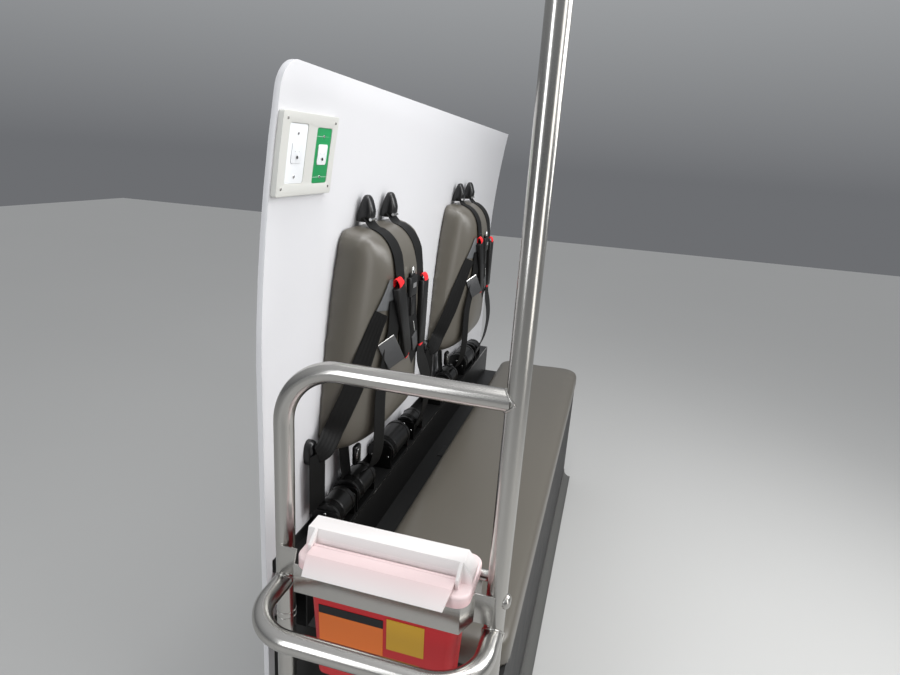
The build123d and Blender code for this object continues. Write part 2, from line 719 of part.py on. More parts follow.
def guard_rail():
    """Stanchion, rail tube and hoop, cut to lie against each other."""
    left = -RAIL_SPAN
    base = (0, 0, FLANGE_T)
    stanchion = rod(base, (0, 0, STANCHION_Z - FLANGE_T), TUBE_R)
    path = [(left, 0, FLANGE_T), (left, 0, RAIL_Z), (-COPE_DEPTH, 0, RAIL_Z)]
    rail = bent_rod(path, RAIL_BEND_R, TUBE_R) - stanchion
    hoop_path = [
        (left, -COPE_DEPTH, HOOP_Z),
        (left, -HOOP_DEPTH, HOOP_Z),
        (0, -HOOP_DEPTH, HOOP_Z),
        (0, -COPE_DEPTH, HOOP_Z),
    ]
    hoop = bent_rod(hoop_path, HOOP_BEND_R, TUBE_R) - stanchion - rail
    cap_axis = Plane(origin=(0, 0, CAP_Z), z_dir=(1, 0, 0))
    cap_shape = make_face(
        [
            Line((0, 0), (CAP_R, 0)),
            Line((CAP_R, 0), (CAP_R, TUBE_R)),
            ThreePointArc((CAP_R, TUBE_R), (CAP_R * 0.75, TUBE_R + CAP_H * 0.7), (0, TUBE_R + CAP_H)),
            Line((0, TUBE_R + CAP_H), (0, 0)),
        ]
    )
    cap = cap_axis * revolve(Plane.XZ * cap_shape, Axis.Z) - stanchion
    return {
        "stanchion": stanchion,
        "guard_rail_tube": rail,
        "guard_hoop": hoop,
        "stanchion_cap": cap.solids().sort_by(Axis.X)[-1],
        "floor_flanges": Compound(children=[flange(0, 0, 1), flange(left, 0, 1)]),
        "ceiling_flange": flange(0, STANCHION_Z, -1),
    }


def flange(x, z, up):
    """A bolted disc with a collar round the tube's end."""
    plate = along_z(Circle(FLANGE_R), 0, FLANGE_T)
    bore_r = TUBE_R + COLLAR_GAP
    collar = along_z(Circle(bore_r + COLLAR_WALL) - Circle(bore_r), FLANGE_T, COLLAR_Z)
    body = plate + collar
    for turn in range(FLANGE_BOLTS):
        angle = math.radians(45 + 360 / FLANGE_BOLTS * turn)
        place = (FLANGE_BOLT_PCD / 2 * math.cos(angle), FLANGE_BOLT_PCD / 2 * math.sin(angle))
        body -= rod((*place, -1), (*place, FLANGE_T + 1), FLANGE_BOLT_R)
    if up < 0:
        body = mirror(body, Plane.XY)
    return Pos(x, 0, z) * body


def rail_standoffs(rails):
    """Short bars from the tubes' backs to pads on the bench's head end."""
    pieces = []
    pad_y = BASE_Y[0] - STANDOFF_PAD_T
    for x in (-RAIL_SPAN, 0):
        for z in STANDOFF_Z:
            bar = rod((x, COPE_DEPTH, z), (x, pad_y, z), STANDOFF_R)
            pad = rod((x, pad_y, z), (x, BASE_Y[0], z), STANDOFF_PAD_R)
            piece = bar + pad
            for rail in rails:
                piece -= rail
            pieces.append(piece.solids().sort_by(Axis.Y)[-1])
    return Compound(children=pieces)


def container_holder(stanchion):
    """The slanted band welded across the tubes, the bar behind it and its plate."""
    left = BIN_X - BIN_TOP_W / 2 - BAND_LEFT_GAP - BAND_SLANT
    right = BIN_X + BIN_TOP_W / 2 + BAND_RIGHT_GAP + BAND_SLANT
    front_back_y = BAND_FRONT_Y + BAND_T
    back = [
        (-RAIL_SPAN, BAND_EAR_Y),
        (left, BAND_EAR_Y),
        (left + BAND_SLANT, front_back_y),
        (right - BAND_SLANT, front_back_y),
        (right, BAND_EAR_Y),
        (0, BAND_EAR_Y),
    ]
    # The sheet's front corners stand off its back corners by the mitre
    turn = math.atan2(BAND_EAR_Y - front_back_y, BAND_SLANT)
    mitre = BAND_T * math.tan(turn / 2)
    front = [
        (0, BAND_EAR_Y - BAND_T),
        (right + mitre, BAND_EAR_Y - BAND_T),
        (right - BAND_SLANT + mitre, BAND_FRONT_Y),
        (left + BAND_SLANT - mitre, BAND_FRONT_Y),
        (left - mitre, BAND_EAR_Y - BAND_T),
        (-RAIL_SPAN, BAND_EAR_Y - BAND_T),
    ]
    band = along_z(make_face(Polyline(*back, *front, close=True)), BAND_LOW, BAND_HIGH)
    bar_z = BAND_HIGH - BAR_R
    bar_path = [(0, COPE_DEPTH, bar_z), (0, BAR_Y, bar_z), (BAR_END_X, BAR_Y, bar_z)]
    bar = bent_rod(bar_path, BAR_BEND_R, BAR_R) - stanchion
    plate_y = (BAR_Y - HANGER_T / 2, BAR_Y + HANGER_T / 2)
    plate = block(HANGER_X, plate_y, (bar_z - HANGER_H, bar_z)) - bar
    return {
        "bracket_band": band,
        "rear_bar": bar,
        "hanger_plate": plate.solids().sort_by(Axis.Z)[0],
    }


def bin_section(z, inset=0.0):
    """The container's outline at a height, its walls drawn in by inset."""
    top_z = BAND_HIGH + BIN_SEAT_GAP
    fall = top_z - z
    half = BIN_TOP_W / 2 - fall * math.tan(math.radians(BIN_DRAFT_X)) - inset
    front = BIN_TOP_Y[0] + fall * math.tan(math.radians(BIN_DRAFT_FRONT)) + inset
    back = BIN_TOP_Y[1] - fall * math.tan(math.radians(BIN_DRAFT_BACK)) - inset
    radius = BIN_CORNER_R - inset
    return Plane(origin=(0, 0, z)) * window((BIN_X - half, BIN_X + half), (front, back), radius)


def sharps_container():
    top_z = BAND_HIGH + BIN_SEAT_GAP
    outer = loft([bin_section(BIN_BOTTOM_Z), bin_section(top_z)])
    inner = loft([bin_section(BIN_BOTTOM_Z + BIN_WALL, BIN_WALL), bin_section(top_z + 1, BIN_WALL)])
    rim_top = top_z + RIM_H
    hood_top = rim_top + HOOD_H
    rim = along_z(window(RIM_X, RIM_Y, RIM_CORNER_R), top_z, rim_top)
    rim = fillet(rim.edges().group_by(Axis.Z)[-1], RIM_EDGE_R)
    hood_foot_y = HOOD_Y[0] - HOOD_LEAN
    hood_shape = make_face(
        Polyline(
            (hood_foot_y, rim_top),
            (HOOD_Y[0], hood_top),
            (HOOD_Y[1], hood_top),
            (HOOD_Y[1], rim_top),
            close=True,
        )
    )
    hood = along_x(hood_shape, *HOOD_X)
    ridge_x = (HOOD_X[1], HOOD_X[1] + RIDGE_W)
    ridge_shape = Polyline(
        (ridge_x[0], rim_top),
        (ridge_x[1], rim_top),
        (ridge_x[1], rim_top + RIDGE_FOOT_H),
        (ridge_x[0] + RIDGE_W / 2, hood_top),
        (ridge_x[0], hood_top),
        close=True,
    )
    ridge = along_y(make_face(ridge_shape), hood_foot_y, HOOD_Y[1])
    ridge = ridge & along_x(hood_shape, ridge_x[0] - 1, ridge_x[1] + 1)
    # The hollow under the hood runs down to the container, within its walls
    throat_x = (BIN_X - BIN_TOP_W / 2 + BIN_CORNER_R, HOOD_X[1] - HOOD_WALL)
    throat_y = (HOOD_Y[0] + HOOD_WALL, HOOD_Y[1] - HOOD_WALL)
    cavity = block(throat_x, throat_y, (top_z - 1, hood_top - HOOD_WALL))
    mouth_y = (hood_foot_y - 1, throat_y[0] + 1)
    mouth = block(throat_x, mouth_y, (rim_top + RIM_EDGE_R, rim_top + HOOD_MOUTH_H))
    cover = rim + hood + ridge - cavity - mouth
    axis_z = rim_top + TRAY_AXIS_RISE
    cheek_shape = Polyline(
        (HOOD_Y[0] + HOOD_WALL, hood_top),
        (HOOD_Y[0], hood_top),
        (CHEEK_FRONT_Y, rim_top + CHEEK_FRONT_H),
        (CHEEK_FRONT_Y, rim_top - 1),
        (HOOD_Y[0] + HOOD_WALL, rim_top - 1),
        close=True,
    )
    for end, outward in ((TRAY_X[0] - TRAY_GAP, -1), (TRAY_X[1] + TRAY_GAP, 1)):
        cheek_x = sorted((end, end + outward * CHEEK_W))
        cover += along_x(make_face(cheek_shape), *cheek_x)
        reach = end - outward * TRAY_PIN_L
        cover += rod((end, TRAY_AXIS_Y, axis_z), (reach, TRAY_AXIS_Y, axis_z), TRAY_PIN_R)
    pieces = {"container_body": outer - inner, "container_lid": cover}
    slope = math.tan(math.radians(BIN_DRAFT_FRONT))
    for name, low_x, high_x, low_z, high_z in LABELS:
        low_y = BIN_TOP_Y[0] + (top_z - low_z) * slope
        high_y = BIN_TOP_Y[0] + (top_z - high_z) * slope
        section = Polyline(
            (low_y, low_z), (high_y, high_z), (high_y - LABEL_T, high_z), (low_y - LABEL_T, low_z), close=True
        )
        pieces[name] = along_x(make_face(section), low_x, high_x)
    pieces["drop_tray"] = drop_tray(axis_z)
    return pieces


def drop_tray(axis_z):
    """Barrel, level leaf and a lip that slopes down over the rim's front."""
    barrel = rod((TRAY_X[0], TRAY_AXIS_Y, axis_z), (TRAY_X[1], TRAY_AXIS_Y, axis_z), TRAY_BARREL_R)
    half = TRAY_T / 2
    tip_z = axis_z - TRAY_TIP_DROP
    section = Polyline(
        (TRAY_AXIS_Y, axis_z - half),
        (TRAY_BEND_Y + half * 0.8, axis_z - half),
        (TRAY_TIP_Y + half * 0.7, tip_z - half * 0.7),
        (TRAY_TIP_Y - half * 0.7, tip_z + half * 0.7),
        (TRAY_BEND_Y - half * 0.8, axis_z + half),
        (TRAY_AXIS_Y, axis_z + half),
        close=True,
    )
    leaf = along_x(make_face(section), *TRAY_X)
    outline = Polyline(
        (TRAY_X[0], TRAY_AXIS_Y + 5),
        (TRAY_X[0], TRAY_BEND_Y),
        (TRAY_TIP_X[0], TRAY_TIP_Y - 5),
        (TRAY_TIP_X[1], TRAY_TIP_Y - 5),
        (TRAY_X[1], TRAY_BEND_Y),
        (TRAY_X[1], TRAY_AXIS_Y + 5),
        close=True,
    )
    leaf = leaf & along_z(make_face(outline), tip_z - 10, axis_z + 10)
    tray = barrel + leaf
    for end, inward in ((TRAY_X[0], 1), (TRAY_X[1], -1)):
        start = (end - inward, TRAY_AXIS_Y, axis_z)
        stop = (end + inward * (TRAY_PIN_L + 1), TRAY_AXIS_Y, axis_z)
        tray -= rod(start, stop, TRAY_PIN_R + TRAY_PIN_GAP)
    return tray


def build():
    nodes = {"wall_panel": wall_panel(), "belt_rail": belt_rail()}
    rail = guard_rail()
    tubes = [rail["stanchion"], rail["guard_rail_tube"]]
    nodes.update(rail)
    nodes["rail_standoffs"] = rail_standoffs(tubes)
    nodes.update(container_holder(rail["stanchion"]))
    nodes.update(sharps_container())
    nodes.update(outlet())
    nodes.update(bench_base())
    nodes.update(lid())
    nodes.update(lid_hinges())
    nodes.update(backrests())
    nodes.update(retractors())
    nodes.update(shoulder_harness())
    nodes.update(buckles())
    nodes.update(lap_harness())
    return nodes


os.makedirs("parts", exist_ok=True)
for name, shape in build().items():
    export_step(shape, f"parts/{name}.step")
    print(name, round(shape.volume))
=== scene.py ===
import json
import math

import bmesh
import bpy
from mathutils import Matrix, Vector
from mathutils.bvhtree import BVHTree


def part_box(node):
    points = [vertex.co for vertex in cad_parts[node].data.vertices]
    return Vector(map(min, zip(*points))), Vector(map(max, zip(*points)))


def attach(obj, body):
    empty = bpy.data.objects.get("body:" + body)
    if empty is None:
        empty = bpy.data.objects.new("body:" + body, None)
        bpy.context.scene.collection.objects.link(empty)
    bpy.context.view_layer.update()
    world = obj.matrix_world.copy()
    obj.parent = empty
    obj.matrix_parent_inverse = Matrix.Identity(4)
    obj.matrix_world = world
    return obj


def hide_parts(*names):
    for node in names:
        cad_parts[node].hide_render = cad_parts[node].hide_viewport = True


# Looks of the squad bench station around its CAD frame.
# Lengths are millimetres in the row frame and turned into metres where a mesh is made.

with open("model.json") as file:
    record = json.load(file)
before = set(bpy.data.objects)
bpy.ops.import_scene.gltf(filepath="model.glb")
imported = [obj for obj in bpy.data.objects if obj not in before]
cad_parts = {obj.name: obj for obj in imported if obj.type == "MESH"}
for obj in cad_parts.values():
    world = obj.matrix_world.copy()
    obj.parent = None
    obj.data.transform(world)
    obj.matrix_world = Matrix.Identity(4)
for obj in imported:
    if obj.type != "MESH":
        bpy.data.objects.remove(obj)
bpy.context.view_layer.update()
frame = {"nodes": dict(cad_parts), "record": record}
MM = 0.001
BODY_OF = {
    node: body
    for body, nodes in frame["record"]["behaviour"]["bodies"].items()
    for node in nodes
}

# Camera, solved from the photograph: millimetres, degrees, and pixels of the 900 x 675 frame
CAMERA_AT = (100.8, -772.3, 1260.1)
CAMERA_YAW = -14.58
CAMERA_PITCH = 16.92
CAMERA_ROLL = 3.91
FOCAL_PIXELS = 613.6
FRAME_WIDTH_PIXELS = 900
SENSOR_WIDTH = 36.0
CLIP_START = 0.02

# Real sizes that the pieces below share with the CAD
TUBE_R = 15.875
RAIL_SPAN = 355.0
RAIL_Z = 940.0
HOOP_Z = 560.0
WALL_X = -418.0
WALL_LEAN_Z = 840.0
WALL_LEAN_R = 2870.0
RAIL_DECK_Z = 510.0
RAIL_LIP_X = -348.0
BENCH_Y = (62.0, 1563.0)
SEAT_Y = (436.0, 1150.0)
PAD_NODES = ("backrest_pad_near", "backrest_pad_far")
PAD_FRONT_X = -314.0
PAD_TOP_Z = 1108.0
PAD_TOP_R = 70.0
PAD_FOOT_W = 434.0
PAD_FRONT_W = 190.0
BOARD_FACE_X = -409.0
WEB_W = 47.0
WEB_T = 1.6
# Directions: out from the wall, along the bench, and up
OUT = Vector((1, 0, 0))
BENCH = Vector((0, 1, 0))
UP = Vector((0, 0, 1))


# Materials

COAT_ROUGHNESS = 0.25
MM_PER_METRE = 1000.0
# How far a finish's roughness varies each way, and the detail of the noises
WORN = 0.12
CLOUD_DETAIL = 4.0
GRAIN_DETAIL = 3.0
BRUSH_DETAIL = 2.0


def finish(name, color, rough, metal=0.0, coat=0.0, grain=0.0, grain_size=1.0, mottle=0.0,
           mottle_size=60.0, shine=0.5):
    """A procedural finish: grain is a bump in mm, sizes are in mm, mottle varies the colour."""
    material = bpy.data.materials.new(name)
    material.use_nodes = True
    nodes = material.node_tree.nodes
    links = material.node_tree.links
    shader = nodes["Principled BSDF"]
    shader.inputs["Base Color"].default_value = (*color, 1.0)
    shader.inputs["Metallic"].default_value = metal
    shader.inputs["Coat Weight"].default_value = coat
    shader.inputs["Coat Roughness"].default_value = COAT_ROUGHNESS
    shader.inputs["Specular IOR Level"].default_value = shine
    place = nodes.new("ShaderNodeTexCoord")
    cloud = nodes.new("ShaderNodeTexNoise")
    cloud.inputs["Scale"].default_value = MM_PER_METRE / mottle_size
    cloud.inputs["Detail"].default_value = CLOUD_DETAIL
    links.new(place.outputs["Object"], cloud.inputs["Vector"])
    polish = nodes.new("ShaderNodeMapRange")
    polish.inputs["To Min"].default_value = rough * (1.0 - WORN)
    polish.inputs["To Max"].default_value = min(rough * (1.0 + WORN), 1.0)
    links.new(cloud.outputs["Fac"], polish.inputs["Value"])
    links.new(polish.outputs["Result"], shader.inputs["Roughness"])
    if mottle:
        shade = nodes.new("ShaderNodeMix")
        shade.data_type = "RGBA"
        shade.inputs["A"].default_value = (*[c * (1.0 - mottle) for c in color], 1.0)
        shade.inputs["B"].default_value = (*[min(c * (1.0 + mottle), 1.0) for c in color], 1.0)
        links.new(cloud.outputs["Fac"], shade.inputs["Factor"])
        links.new(shade.outputs["Result"], shader.inputs["Base Color"])
    if grain:
        fine = nodes.new("ShaderNodeTexNoise")
        fine.inputs["Scale"].default_value = MM_PER_METRE / grain_size
        fine.inputs["Detail"].default_value = GRAIN_DETAIL
        links.new(place.outputs["Object"], fine.inputs["Vector"])
        bump = nodes.new("ShaderNodeBump")
        bump.inputs["Strength"].default_value = 1.0
        bump.inputs["Distance"].default_value = grain * MM
        links.new(fine.outputs["Fac"], bump.inputs["Height"])
        links.new(bump.outputs["Normal"], shader.inputs["Normal"])
    return material


def height_share(nodes, links, low_z, high_z):
    """A socket that goes from 0 to 1 between two heights in mm."""
    place = nodes.new("ShaderNodeTexCoord")
    split = nodes.new("ShaderNodeSeparateXYZ")
    share = nodes.new("ShaderNodeMapRange")
    share.inputs["From Min"].default_value = low_z * MM
    share.inputs["From Max"].default_value = high_z * MM
    links.new(place.outputs["Object"], split.inputs["Vector"])
    links.new(split.outputs["Z"], share.inputs["Value"])
    return share.outputs["Result"]


# Brushing lines: how many in a metre across and along them, their roughness and their depth in mm
BRUSH_ACROSS = 1400.0
BRUSH_ALONG = 14.0
BRUSH_ROUGHNESS = (0.17, 0.30)
BRUSH_DEPTH = 0.014
# Heights about a bend between which upright lines give way to level ones
BEND_BELOW = 30.0
BEND_ABOVE = 20.0
STEEL = (0.46, 0.45, 0.43)


def brushed(name, bend_z=None):
    """Steel with fine lines along the tube: upright, and along x above the height bend_z."""
    material = finish(name, STEEL, 0.24, metal=1.0)
    nodes = material.node_tree.nodes
    links = material.node_tree.links
    shader = nodes["Principled BSDF"]
    place = nodes.new("ShaderNodeTexCoord")
    lines = []
    upright = (BRUSH_ACROSS, BRUSH_ACROSS, BRUSH_ALONG)
    level = (BRUSH_ALONG, BRUSH_ACROSS, BRUSH_ACROSS)
    for scale in (upright, level):
        mapping = nodes.new("ShaderNodeMapping")
        mapping.inputs["Scale"].default_value = scale
        noise = nodes.new("ShaderNodeTexNoise")
        noise.inputs["Scale"].default_value = 1.0
        noise.inputs["Detail"].default_value = BRUSH_DETAIL
        links.new(place.outputs["Object"], mapping.inputs["Vector"])
        links.new(mapping.outputs["Vector"], noise.inputs["Vector"])
        lines.append(noise.outputs["Fac"])
    height = lines[0]
    if bend_z:
        mix = nodes.new("ShaderNodeMix")
        share = height_share(nodes, links, bend_z - BEND_BELOW, bend_z + BEND_ABOVE)
        links.new(share, mix.inputs["Factor"])
        links.new(lines[0], mix.inputs["A"])
        links.new(lines[1], mix.inputs["B"])
        height = mix.outputs["Result"]
    polish = nodes.new("ShaderNodeMapRange")
    polish.inputs["To Min"].default_value = BRUSH_ROUGHNESS[0]
    polish.inputs["To Max"].default_value = BRUSH_ROUGHNESS[1]
    links.new(height, polish.inputs["Value"])
    links.new(polish.outputs["Result"], shader.inputs["Roughness"])
    bump = nodes.new("ShaderNodeBump")
    bump.inputs["Strength"].default_value = 1.0
    bump.inputs["Distance"].default_value = BRUSH_DEPTH * MM
    links.new(height, bump.inputs["Height"])
    links.new(bump.outputs["Normal"], shader.inputs["Normal"])
    return material


def pink_bounce_plastic(name, low, high, low_z, high_z):
    """White plastic with a painted pink tint standing for red light bounced from the body, graded by
    height: one colour low on the piece, one high.
    """
    material = finish(name, high, 0.42, grain=0.01, grain_size=0.8)
    nodes = material.node_tree.nodes
    links = material.node_tree.links
    mix = nodes.new("ShaderNodeMix")
    mix.data_type = "RGBA"
    mix.inputs["A"].default_value = (*low, 1.0)
    mix.inputs["B"].default_value = (*high, 1.0)
    links.new(height_share(nodes, links, low_z, high_z), mix.inputs["Factor"])
    links.new(mix.outputs["Result"], nodes["Principled BSDF"].inputs["Base Color"])
    return material


FINISHES = {
    "stainless": finish("stainless", STEEL, 0.25, metal=1.0, grain=0.004, grain_size=0.5),
    "wall_white": finish("wall_white", (0.70, 0.70, 0.72), 0.36, coat=0.2, grain=0.02, grain_size=6.0),
    "outlet_grey": finish("outlet_grey", (0.62, 0.62, 0.59), 0.45, grain=0.01, grain_size=0.7),
    "plate_white": finish("plate_white", (0.84, 0.86, 0.88), 0.35, coat=0.2),
    "plate_green": finish("plate_green", (0.006, 0.29, 0.085), 0.40),
    "cabinet_black": finish("cabinet_black", (0.012, 0.012, 0.012), 0.55, grain=0.05, grain_size=1.2,
                            shine=0.3),
    "kick_grey": finish("kick_grey", (0.09, 0.09, 0.085), 0.65, grain=0.03, grain_size=1.5),
    "rail_black": finish("rail_black", (0.005, 0.005, 0.005), 0.40, grain=0.02, grain_size=1.0, shine=0.25),
    "vinyl_taupe": finish("vinyl_taupe", (0.094, 0.085, 0.069), 0.40, coat=0.3, grain=0.02, grain_size=1.6,
                          mottle=0.04, mottle_size=180.0),
    "webbing_black": finish("webbing_black", (0.005, 0.005, 0.005), 0.55, grain=0.08, grain_size=1.2,
                            shine=0.17),
    "flap_grey": finish("flap_grey", (0.045, 0.046, 0.048), 0.50, grain=0.05, grain_size=0.8),
    # Painted sheen: a lighter grey for the black web where it twists over before the sleeve.
    "twist_sheen_grey": finish("twist_sheen_grey", (0.105, 0.11, 0.115), 0.55, grain=0.15, grain_size=1.0),
    "buckle_black": finish("buckle_black", (0.004, 0.004, 0.004), 0.42, grain=0.03, grain_size=0.9,
                           shine=0.3),
    "guide_black": finish("guide_black", (0.004, 0.004, 0.0045), 0.28, shine=0.5),
    "release_red": finish("release_red", (0.80, 0.012, 0.018), 0.40, shine=0.4),
    "retractor_black": finish("retractor_black", (0.003, 0.003, 0.003), 0.30, grain=0.01, grain_size=1.0,
                              shine=0.3),
    "bright_steel": finish("bright_steel", (0.72, 0.72, 0.71), 0.12, metal=1.0),
    "hinge_steel": finish("hinge_steel", (0.05, 0.05, 0.05), 0.40, metal=0.8, grain=0.01, grain_size=0.6),
    "sharps_red": finish("sharps_red", (0.52, 0.004, 0.010), 0.45, grain=0.01, grain_size=2.0),
    # Painted light: the pink in these two white plastics is painted red bounce light from the body, graded
    # by height.
    "sharps_white": pink_bounce_plastic("sharps_white", (0.84, 0.57, 0.58), (0.76, 0.73, 0.72), 634.0, 672.0),
    "tray_white": pink_bounce_plastic("tray_white", (0.78, 0.74, 0.73), (0.78, 0.61, 0.61), 642.0, 664.0),
    "label_orange": finish("label_orange", (0.80, 0.17, 0.012), 0.40),
    "label_black": finish("label_black", (0.010, 0.011, 0.012), 0.45, shine=0.25),
    "label_yellow": finish("label_yellow", (0.60, 0.33, 0.010), 0.40),
}
# The record's slot for each finish that is not a slot itself
SLOT_OF = {part["node"]: part["material_slot"] for part in frame["record"]["subparts"]}
# Where the rail tube's lines turn level
RAIL_BEND_Z = RAIL_Z - 30.0
TUBE_FINISHES = {
    "stanchion": brushed("stainless_upright"),
    "guard_rail_tube": brushed("stainless_rail", RAIL_BEND_Z),
}
for node, obj in frame["nodes"].items():
    for place in obj.material_slots:
        place.material = TUBE_FINISHES.get(node, FINISHES[SLOT_OF[node]])


# Building meshes

# Squareness of a round ring, and the points of rings of several kinds
ROUND = 2.0
BAR_POINTS = 28
DISC_POINTS = 20
LOWER_GUIDE_POINTS = 32
COVER_POINTS = 40
# Side view of a screw head: (share of its height, share of its radius)
DISC_RINGS = ((0.0, 1.0), (0.5, 1.0), (0.85, 0.88), (1.0, 0.60))
# A web's columns for each rib, and the share of its thickness at its edges
RIB_COLUMNS = 4
WEB_EDGE = 0.5


class Shape:
    """Gathers lofted and flat forms into one mesh, in millimetres."""

    def __init__(self):
        self.points = []
        self.faces = []

    def loft(self, rings, closed=False):
        """Skins rings of equal length. An open loft gets flat ends, a closed one joins up."""
        start = len(self.points)
        count = len(rings[0])
        for ring in rings:
            self.points.extend(ring)
        spans = len(rings) if closed else len(rings) - 1
        for i in range(spans):
            low = start + i * count
            high = start + (i + 1) % len(rings) * count
            for j in range(count):
                k = (j + 1) % count
                self.faces.append((low + j, low + k, high + k, high + j))
        if not closed:
            last = start + (len(rings) - 1) * count
            self.faces.append(tuple(range(start + count - 1, start - 1, -1)))
            self.faces.append(tuple(range(last, last + count)))

    def box(self, x, y, z):
        """A block from three (low, high) pairs."""
        rings = []
        for height in z:
            rings.append([Vector((a, b, height)) for a, b in
                          ((x[0], y[0]), (x[1], y[0]), (x[1], y[1]), (x[0], y[1]))])
        self.loft(rings)

    def tube(self, path, radius, sides=12, closed=False):
        """A round bar along a path of points."""
        rings = []
        side = None
        for i, point in enumerate(path):
            before = path[i - 1] if i or closed else point
            after = path[(i + 1) % len(path)] if i < len(path) - 1 or closed else point
            tangent = (after - before).normalized()
            if side is None:
                side = tangent.orthogonal()
            side = (side - tangent * side.dot(tangent)).normalized()
            up = tangent.cross(side)
            rings.append(oval(point, side, up, radius, radius, ROUND, sides))
        self.loft(rings, closed)

    def rounded(self, low, high, across, half_w, half_t, taper=1.0, power=5.0, edge=2.0):
        """A bar with rounded corners and ends between two points, flat side along across."""
        axis = (high - low).normalized()
        wide = (across - axis * across.dot(axis)).normalized()
        thin = axis.cross(wide)
        length = (high - low).length
        # Each end rounds over in two steps: (distance along, how much the ring shrinks)
        stations = ((0.0, -edge), (edge * 0.3, -edge * 0.45), (edge, 0.0),
                    (length - edge, 0.0), (length - edge * 0.3, -edge * 0.45), (length, -edge))
        rings = []
        for along, shrink in stations:
            share = 1.0 + (taper - 1.0) * along / length
            rings.append(oval(low + axis * along, wide, thin, half_w * share + shrink,
                              half_t * share + shrink, power, BAR_POINTS))
        self.loft(rings)

    def disc(self, centre, normal, radius, height):
        """A screw head or boss: a short cylinder with a rounded edge."""
        normal = normal.normalized()
        side = normal.orthogonal().normalized()
        up = normal.cross(side)
        rings = []
        for rise, share in DISC_RINGS:
            rings.append(oval(centre + normal * rise * height, side, up, radius * share,
                              radius * share, ROUND, DISC_POINTS))
        self.loft(rings)

    def make(self, name, slot, body="station", replaces=(), smooth_angle=35.0):
        data = bpy.data.meshes.new(name)
        data.from_pydata([p * MM for p in self.points], [], self.faces)
        built = bmesh.new()
        built.from_mesh(data)
        bmesh.ops.recalc_face_normals(built, faces=built.faces)
        built.to_mesh(data)
        built.free()
        return place_mesh(data, name, slot, body, replaces, smooth_angle)


def added(name, data):
    """A new object in the scene."""
    obj = bpy.data.objects.new(name, data)
    bpy.context.scene.collection.objects.link(obj)
    return obj


def place_mesh(data, name, slot, body, replaces=(), smooth_angle=35.0):
    """An object for a finished mesh, riding on its body and shaded smooth but for sharp edges."""
    data.materials.clear()
    data.materials.append(FINISHES[slot])
    obj = added(name, data)
    data.shade_smooth()
    data.set_sharp_from_angle(angle=math.radians(smooth_angle))
    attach(obj, body)
    if replaces:
        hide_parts(*replaces)
    return obj


def oval(centre, wide, thin, half_w, half_t, power, count):
    """A ring of points: an ellipse at power 2, nearer a rounded rectangle above it."""
    ring = []
    for i in range(count):
        angle = 2 * math.pi * i / count
        c = math.cos(angle)
        s = math.sin(angle)
        u = math.copysign(abs(c) ** (2 / power), c) * half_w
        v = math.copysign(abs(s) ** (2 / power), s) * half_t
        ring.append(centre + wide * u + thin * v)
    return ring


def smooth_path(points, steps):
    """A curve through the points, with so many steps between each two."""
    points = [Vector(p) for p in points]
    ends = [points[0] * 2 - points[1], *points, points[-1] * 2 - points[-2]]
    path = []
    for i in range(1, len(ends) - 2):
        a, b, c, d = ends[i - 1:i + 3]
        for step in range(steps):
            t = step / steps
            path.append(0.5 * (2 * b + (c - a) * t + (2 * a - 5 * b + 4 * c - d) * t**2
                               + (3 * b - a - 3 * c + d) * t**3))
    path.append(points[-1])
    return path


def between(values, steps):
    """Values along a smooth_path of the same points and steps: numbers or vectors."""
    spread = []
    for first, last in zip(values, values[1:]):
        for step in range(steps):
            spread.append(first + (last - first) * (step / steps))
    spread.append(values[-1])
    return spread


def web(shape, path, acrosses, widths=WEB_W, thickness=WEB_T, ribs=5, rib_height=0.45):
    """Woven belt along a path: a flat strip with lengthwise ribs on one face."""
    columns = RIB_COLUMNS * ribs
    rings = []
    for i, point in enumerate(path):
        tangent = (path[min(i + 1, len(path) - 1)] - path[max(i - 1, 0)]).normalized()
        across = acrosses[i] if isinstance(acrosses, list) else acrosses
        width = widths[i] if isinstance(widths, list) else widths
        wide = (across - tangent * across.dot(tangent)).normalized()
        normal = wide.cross(tangent)
        top = []
        low = []
        for j in range(columns + 1):
            u = j / columns - 0.5
            wave = rib_height * (0.5 - 0.5 * math.cos(2 * math.pi * ribs * (u + 0.5)))
            edge = WEB_EDGE if j in (0, columns) else 1.0
            top.append(point + wide * width * u + normal * (thickness / 2 * edge + wave))
            low.append(point + wide * width * u - normal * (thickness / 2 * edge))
        rings.append(top + low[::-1])
    shape.loft(rings)


# What the rounding of edges takes as one point, as flat and as a sharp edge: mm and degrees
SAME_POINT = 0.02
FLAT_TURN = 1.0
SHARP_TURN = 28.0
EDGE_SEGMENTS = 2
EDGE_PROFILE = 0.6


def softened(node, width, look=None):
    """A copy of a CAD node with its sharp edges rounded, standing for that node."""
    built = bmesh.new()
    built.from_mesh(frame["nodes"][node].data)
    bmesh.ops.remove_doubles(built, verts=built.verts, dist=SAME_POINT * MM)
    bmesh.ops.dissolve_limit(built, angle_limit=math.radians(FLAT_TURN), verts=built.verts,
                             edges=built.edges)
    sharp = [e for e in built.edges
             if len(e.link_faces) == 2 and e.calc_face_angle() > math.radians(SHARP_TURN)]
    bmesh.ops.bevel(built, geom=sharp, offset=width * MM, segments=EDGE_SEGMENTS,
                    profile=EDGE_PROFILE, affect="EDGES", clamp_overlap=True)
    bmesh.ops.recalc_face_normals(built, faces=built.faces)
    data = bpy.data.meshes.new(node + "_soft")
    built.to_mesh(data)
    built.free()
    return place_mesh(data, node + "_soft", look or SLOT_OF[node], BODY_OF[node], (node,))


# Padded pieces

# Cloth settings that swell a pad without wrinkling it
PRESSURE = 4.0
BENDING = 8.0
CLOTH_QUALITY = 5
CLOTH_FRAMES = 20
# Smoothing rounds before the cloth, and of a drawn pad's rim after it
FIRST_ROUNDS = 6
RIM_ROUNDS = 12
VOXEL = 6.0


